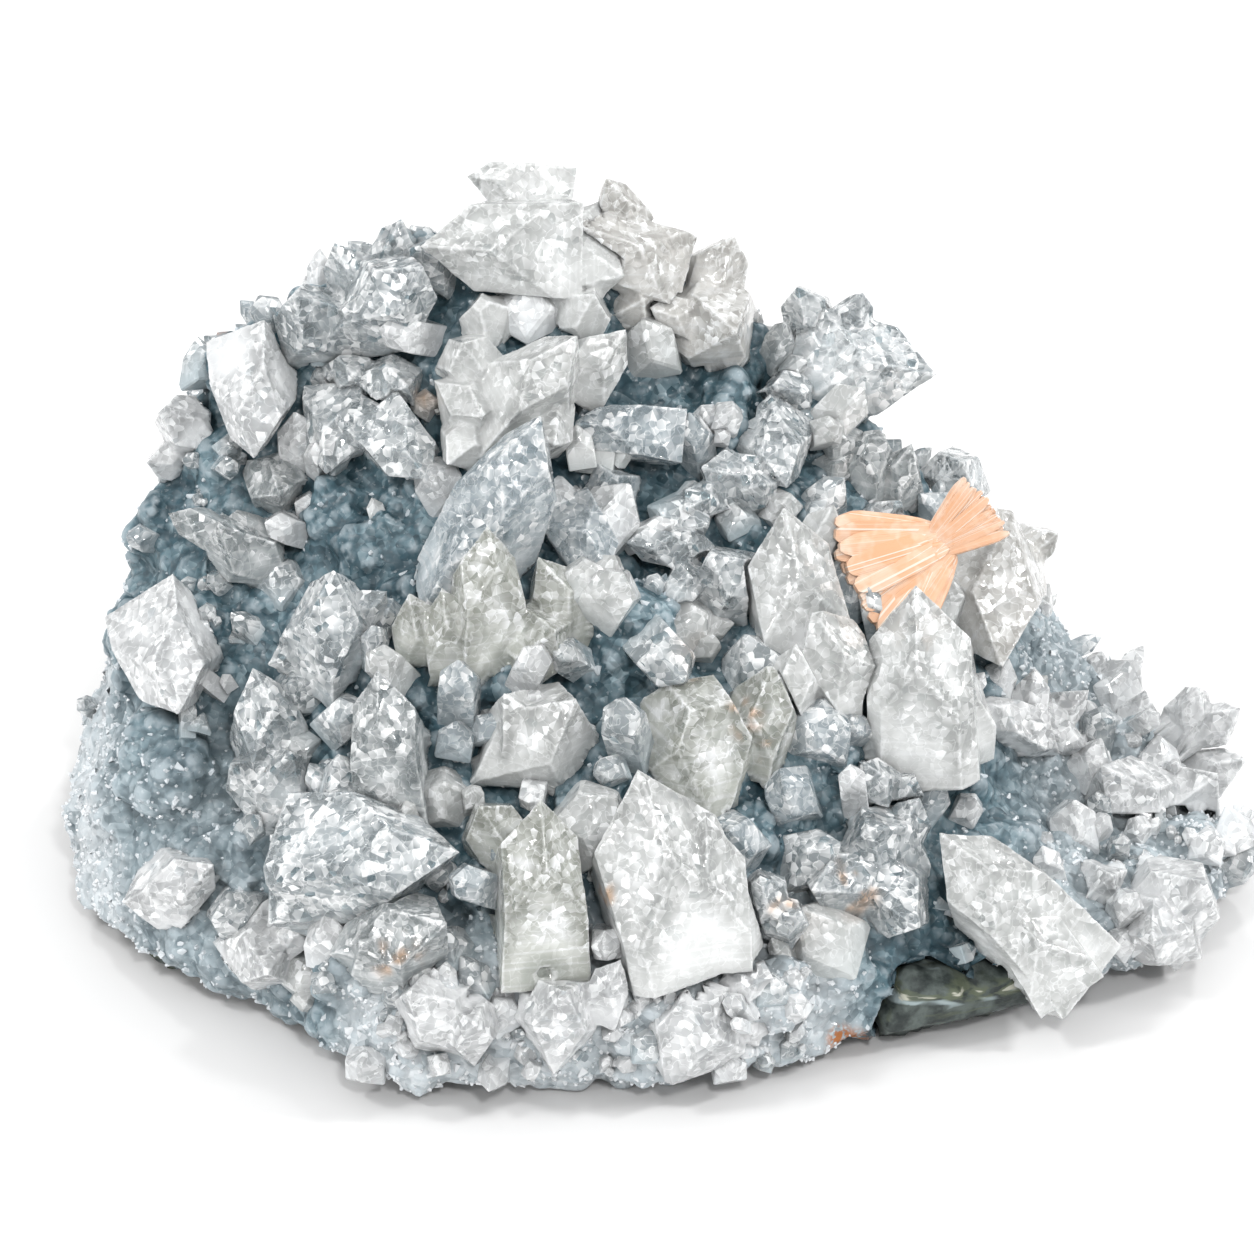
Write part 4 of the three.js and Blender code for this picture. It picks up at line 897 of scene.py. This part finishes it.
silk = Shading("stilbite")
here = silk.place()
streak = silk.streaks(silk.attribute("across"), 3, 2, 0.6)
mottle = silk.noise(here, 380, 2)
length = silk.attribute("length")
tone = silk.attribute("tone")
paleness = tone * 0.3 + length.between(0.75, 1.0) * 0.25 + mottle.between(0.45, 0.65) * 0.5
peach = silk.mixed(PEACH, PALE_PEACH, paleness)
peach = silk.mixed(peach, (0.93, 0.85, 0.77), streak.between(0.58, 0.68) * 0.7)
silk_surface = silk.principled(
    {"Base Color": peach, "Roughness": 0.32, "IOR": 1.5, "Normal": silk.bump(streak, 0.2 * MM, 0.6)}
)
stilbite_material = silk.surface(silk_surface)
for node, (u, v, stand, start, stop, near, long, wide, waist_width, count, layers) in SHEAVES.items():
    waist = MIDDLE + RIGHT * u * MM + UP * v * MM + NEAR * stand * MM
    across = math.radians((start + stop) / 2 + 90)
    aside = seen_way(math.cos(across), math.sin(across), 0)
    blades = []
    for turn in range(count * layers):
        layer, place = divmod(turn, count)
        share = (place + dice.uniform(0.2, 0.8)) / count
        bearing = math.radians(start + (stop - start) * share)
        lift = near - LAYER_LEAN * layer + dice.uniform(-0.04, 0.04)
        way = seen_way(math.cos(bearing), math.sin(bearing), lift)
        face = (way.cross(NEAR)).normalized()
        mesh = blade.data.copy()
        store(mesh, "length", [corner.co.x for corner in mesh.vertices])
        store(mesh, "tone", [dice.random()] * len(mesh.vertices))
        grain_start = dice.uniform(0, 100)
        store(mesh, "across", [corner.co.y * 3 + grain_start for corner in mesh.vertices])
        root = waist + aside * (share - 0.5) * waist_width * MM
        reach = long * dice.uniform(0.97, 1.04) * (1 - 0.04 * layer)
        size = Matrix.Diagonal((reach * MM, wide * dice.uniform(0.8, 1.2) * MM, BLADE_THICK * MM, 1))
        spin = Matrix.Rotation(dice.uniform(-0.2, 0.2), 4, "X")
        basis = Matrix((way, face, way.cross(face))).transposed().to_4x4()
        mesh.transform(Matrix.Translation(root - way * reach * BEHIND_WAIST * MM) @ basis @ spin @ size)
        leaf = bpy.data.objects.new("blade", mesh)
        bpy.context.scene.collection.objects.link(leaf)
        blades.append(leaf)
    sheaf = joined(blades, node + "_blades")
    sheaf.data.materials.append(stilbite_material)
    bpy.ops.object.shade_smooth_by_angle(angle=math.radians(20))
    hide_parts(node)
    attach(sheaf, "root")
bpy.data.objects.remove(blade)

# The floor, the light and the camera. A pale sheet under a soft white dome, six small
# soft lights round the specimen for the glints, and the eye 33 degrees above it.

FLOOR_SIZE = 6.0
bpy.ops.object.select_all(action="DESELECT")
bpy.ops.mesh.primitive_plane_add(size=FLOOR_SIZE, location=(0, 0, 0))
floor = bpy.context.object
floor.name = "floor"
paper = Shading("floor")
paper_surface = paper.principled({"Base Color": (0.93, 0.93, 0.93), "Roughness": 0.9})
floor.data.materials.append(paper.surface(paper_surface))

sky = bpy.data.worlds.new("studio")
sky.use_nodes = True
dome = sky.node_tree.nodes["Background"]
dome.inputs["Strength"].default_value = 0.74
heading = sky.node_tree.nodes.new("ShaderNodeTexCoord")
split = sky.node_tree.nodes.new("ShaderNodeSeparateXYZ")
fade = sky.node_tree.nodes.new("ShaderNodeMapRange")
fade.interpolation_type = "SMOOTHSTEP"
fade.inputs["From Min"].default_value = -0.1
fade.inputs["From Max"].default_value = 0.9
fade.inputs["To Min"].default_value = 0.7
sky.node_tree.links.new(heading.outputs["Generated"], split.inputs[0])
sky.node_tree.links.new(split.outputs["Z"], fade.inputs["Value"])
sky.node_tree.links.new(fade.outputs["Result"], dome.inputs["Color"])
bpy.context.scene.world = sky


def softbox(name, place, aim, size, power):
    light = bpy.data.lights.new(name, "AREA")
    light.shape = "SQUARE"
    light.size = size
    light.energy = power
    box = bpy.data.objects.new(name, light)
    box.location = place
    box.rotation_euler = (Vector(aim) - Vector(place)).to_track_quat("-Z", "Y").to_euler()
    bpy.context.scene.collection.objects.link(box)


LIGHTS = {
    "key_light": ((-0.45, -0.20, 0.70), 0.14, 1.5),
    "front_light": ((0.10, -0.55, 0.60), 0.08, 1.5),
    "right_light": ((0.60, -0.10, 0.50), 0.08, 1.8),
    "back_left_light": ((-0.35, 0.50, 0.60), 0.08, 0.9),
    "back_right_light": ((0.35, 0.45, 0.75), 0.08, 1.2),
    "low_left_light": ((-0.60, -0.40, 0.25), 0.07, 0.8),
}
LIT_SPOT = (0, 0, 0.03)
for name, (place, size, power) in LIGHTS.items():
    softbox(name, place, LIT_SPOT, size, power)

cycles = bpy.context.scene.cycles
cycles.max_bounces = 4
cycles.transmission_bounces = 3
cycles.diffuse_bounces = 1
cycles.glossy_bounces = 2

camera_data = bpy.data.cameras.new("camera")
camera_data.lens = 135
camera_data.sensor_width = 36
camera = bpy.data.objects.new("camera", camera_data)
camera.location = (-0.0034, -0.49298, 0.35675)
camera.rotation_euler = (math.radians(90) - VIEW_RISE, 0, 0)
bpy.context.scene.collection.objects.link(camera)
bpy.context.scene.camera = camera
bpy.context.scene.view_settings.view_transform = "Standard"
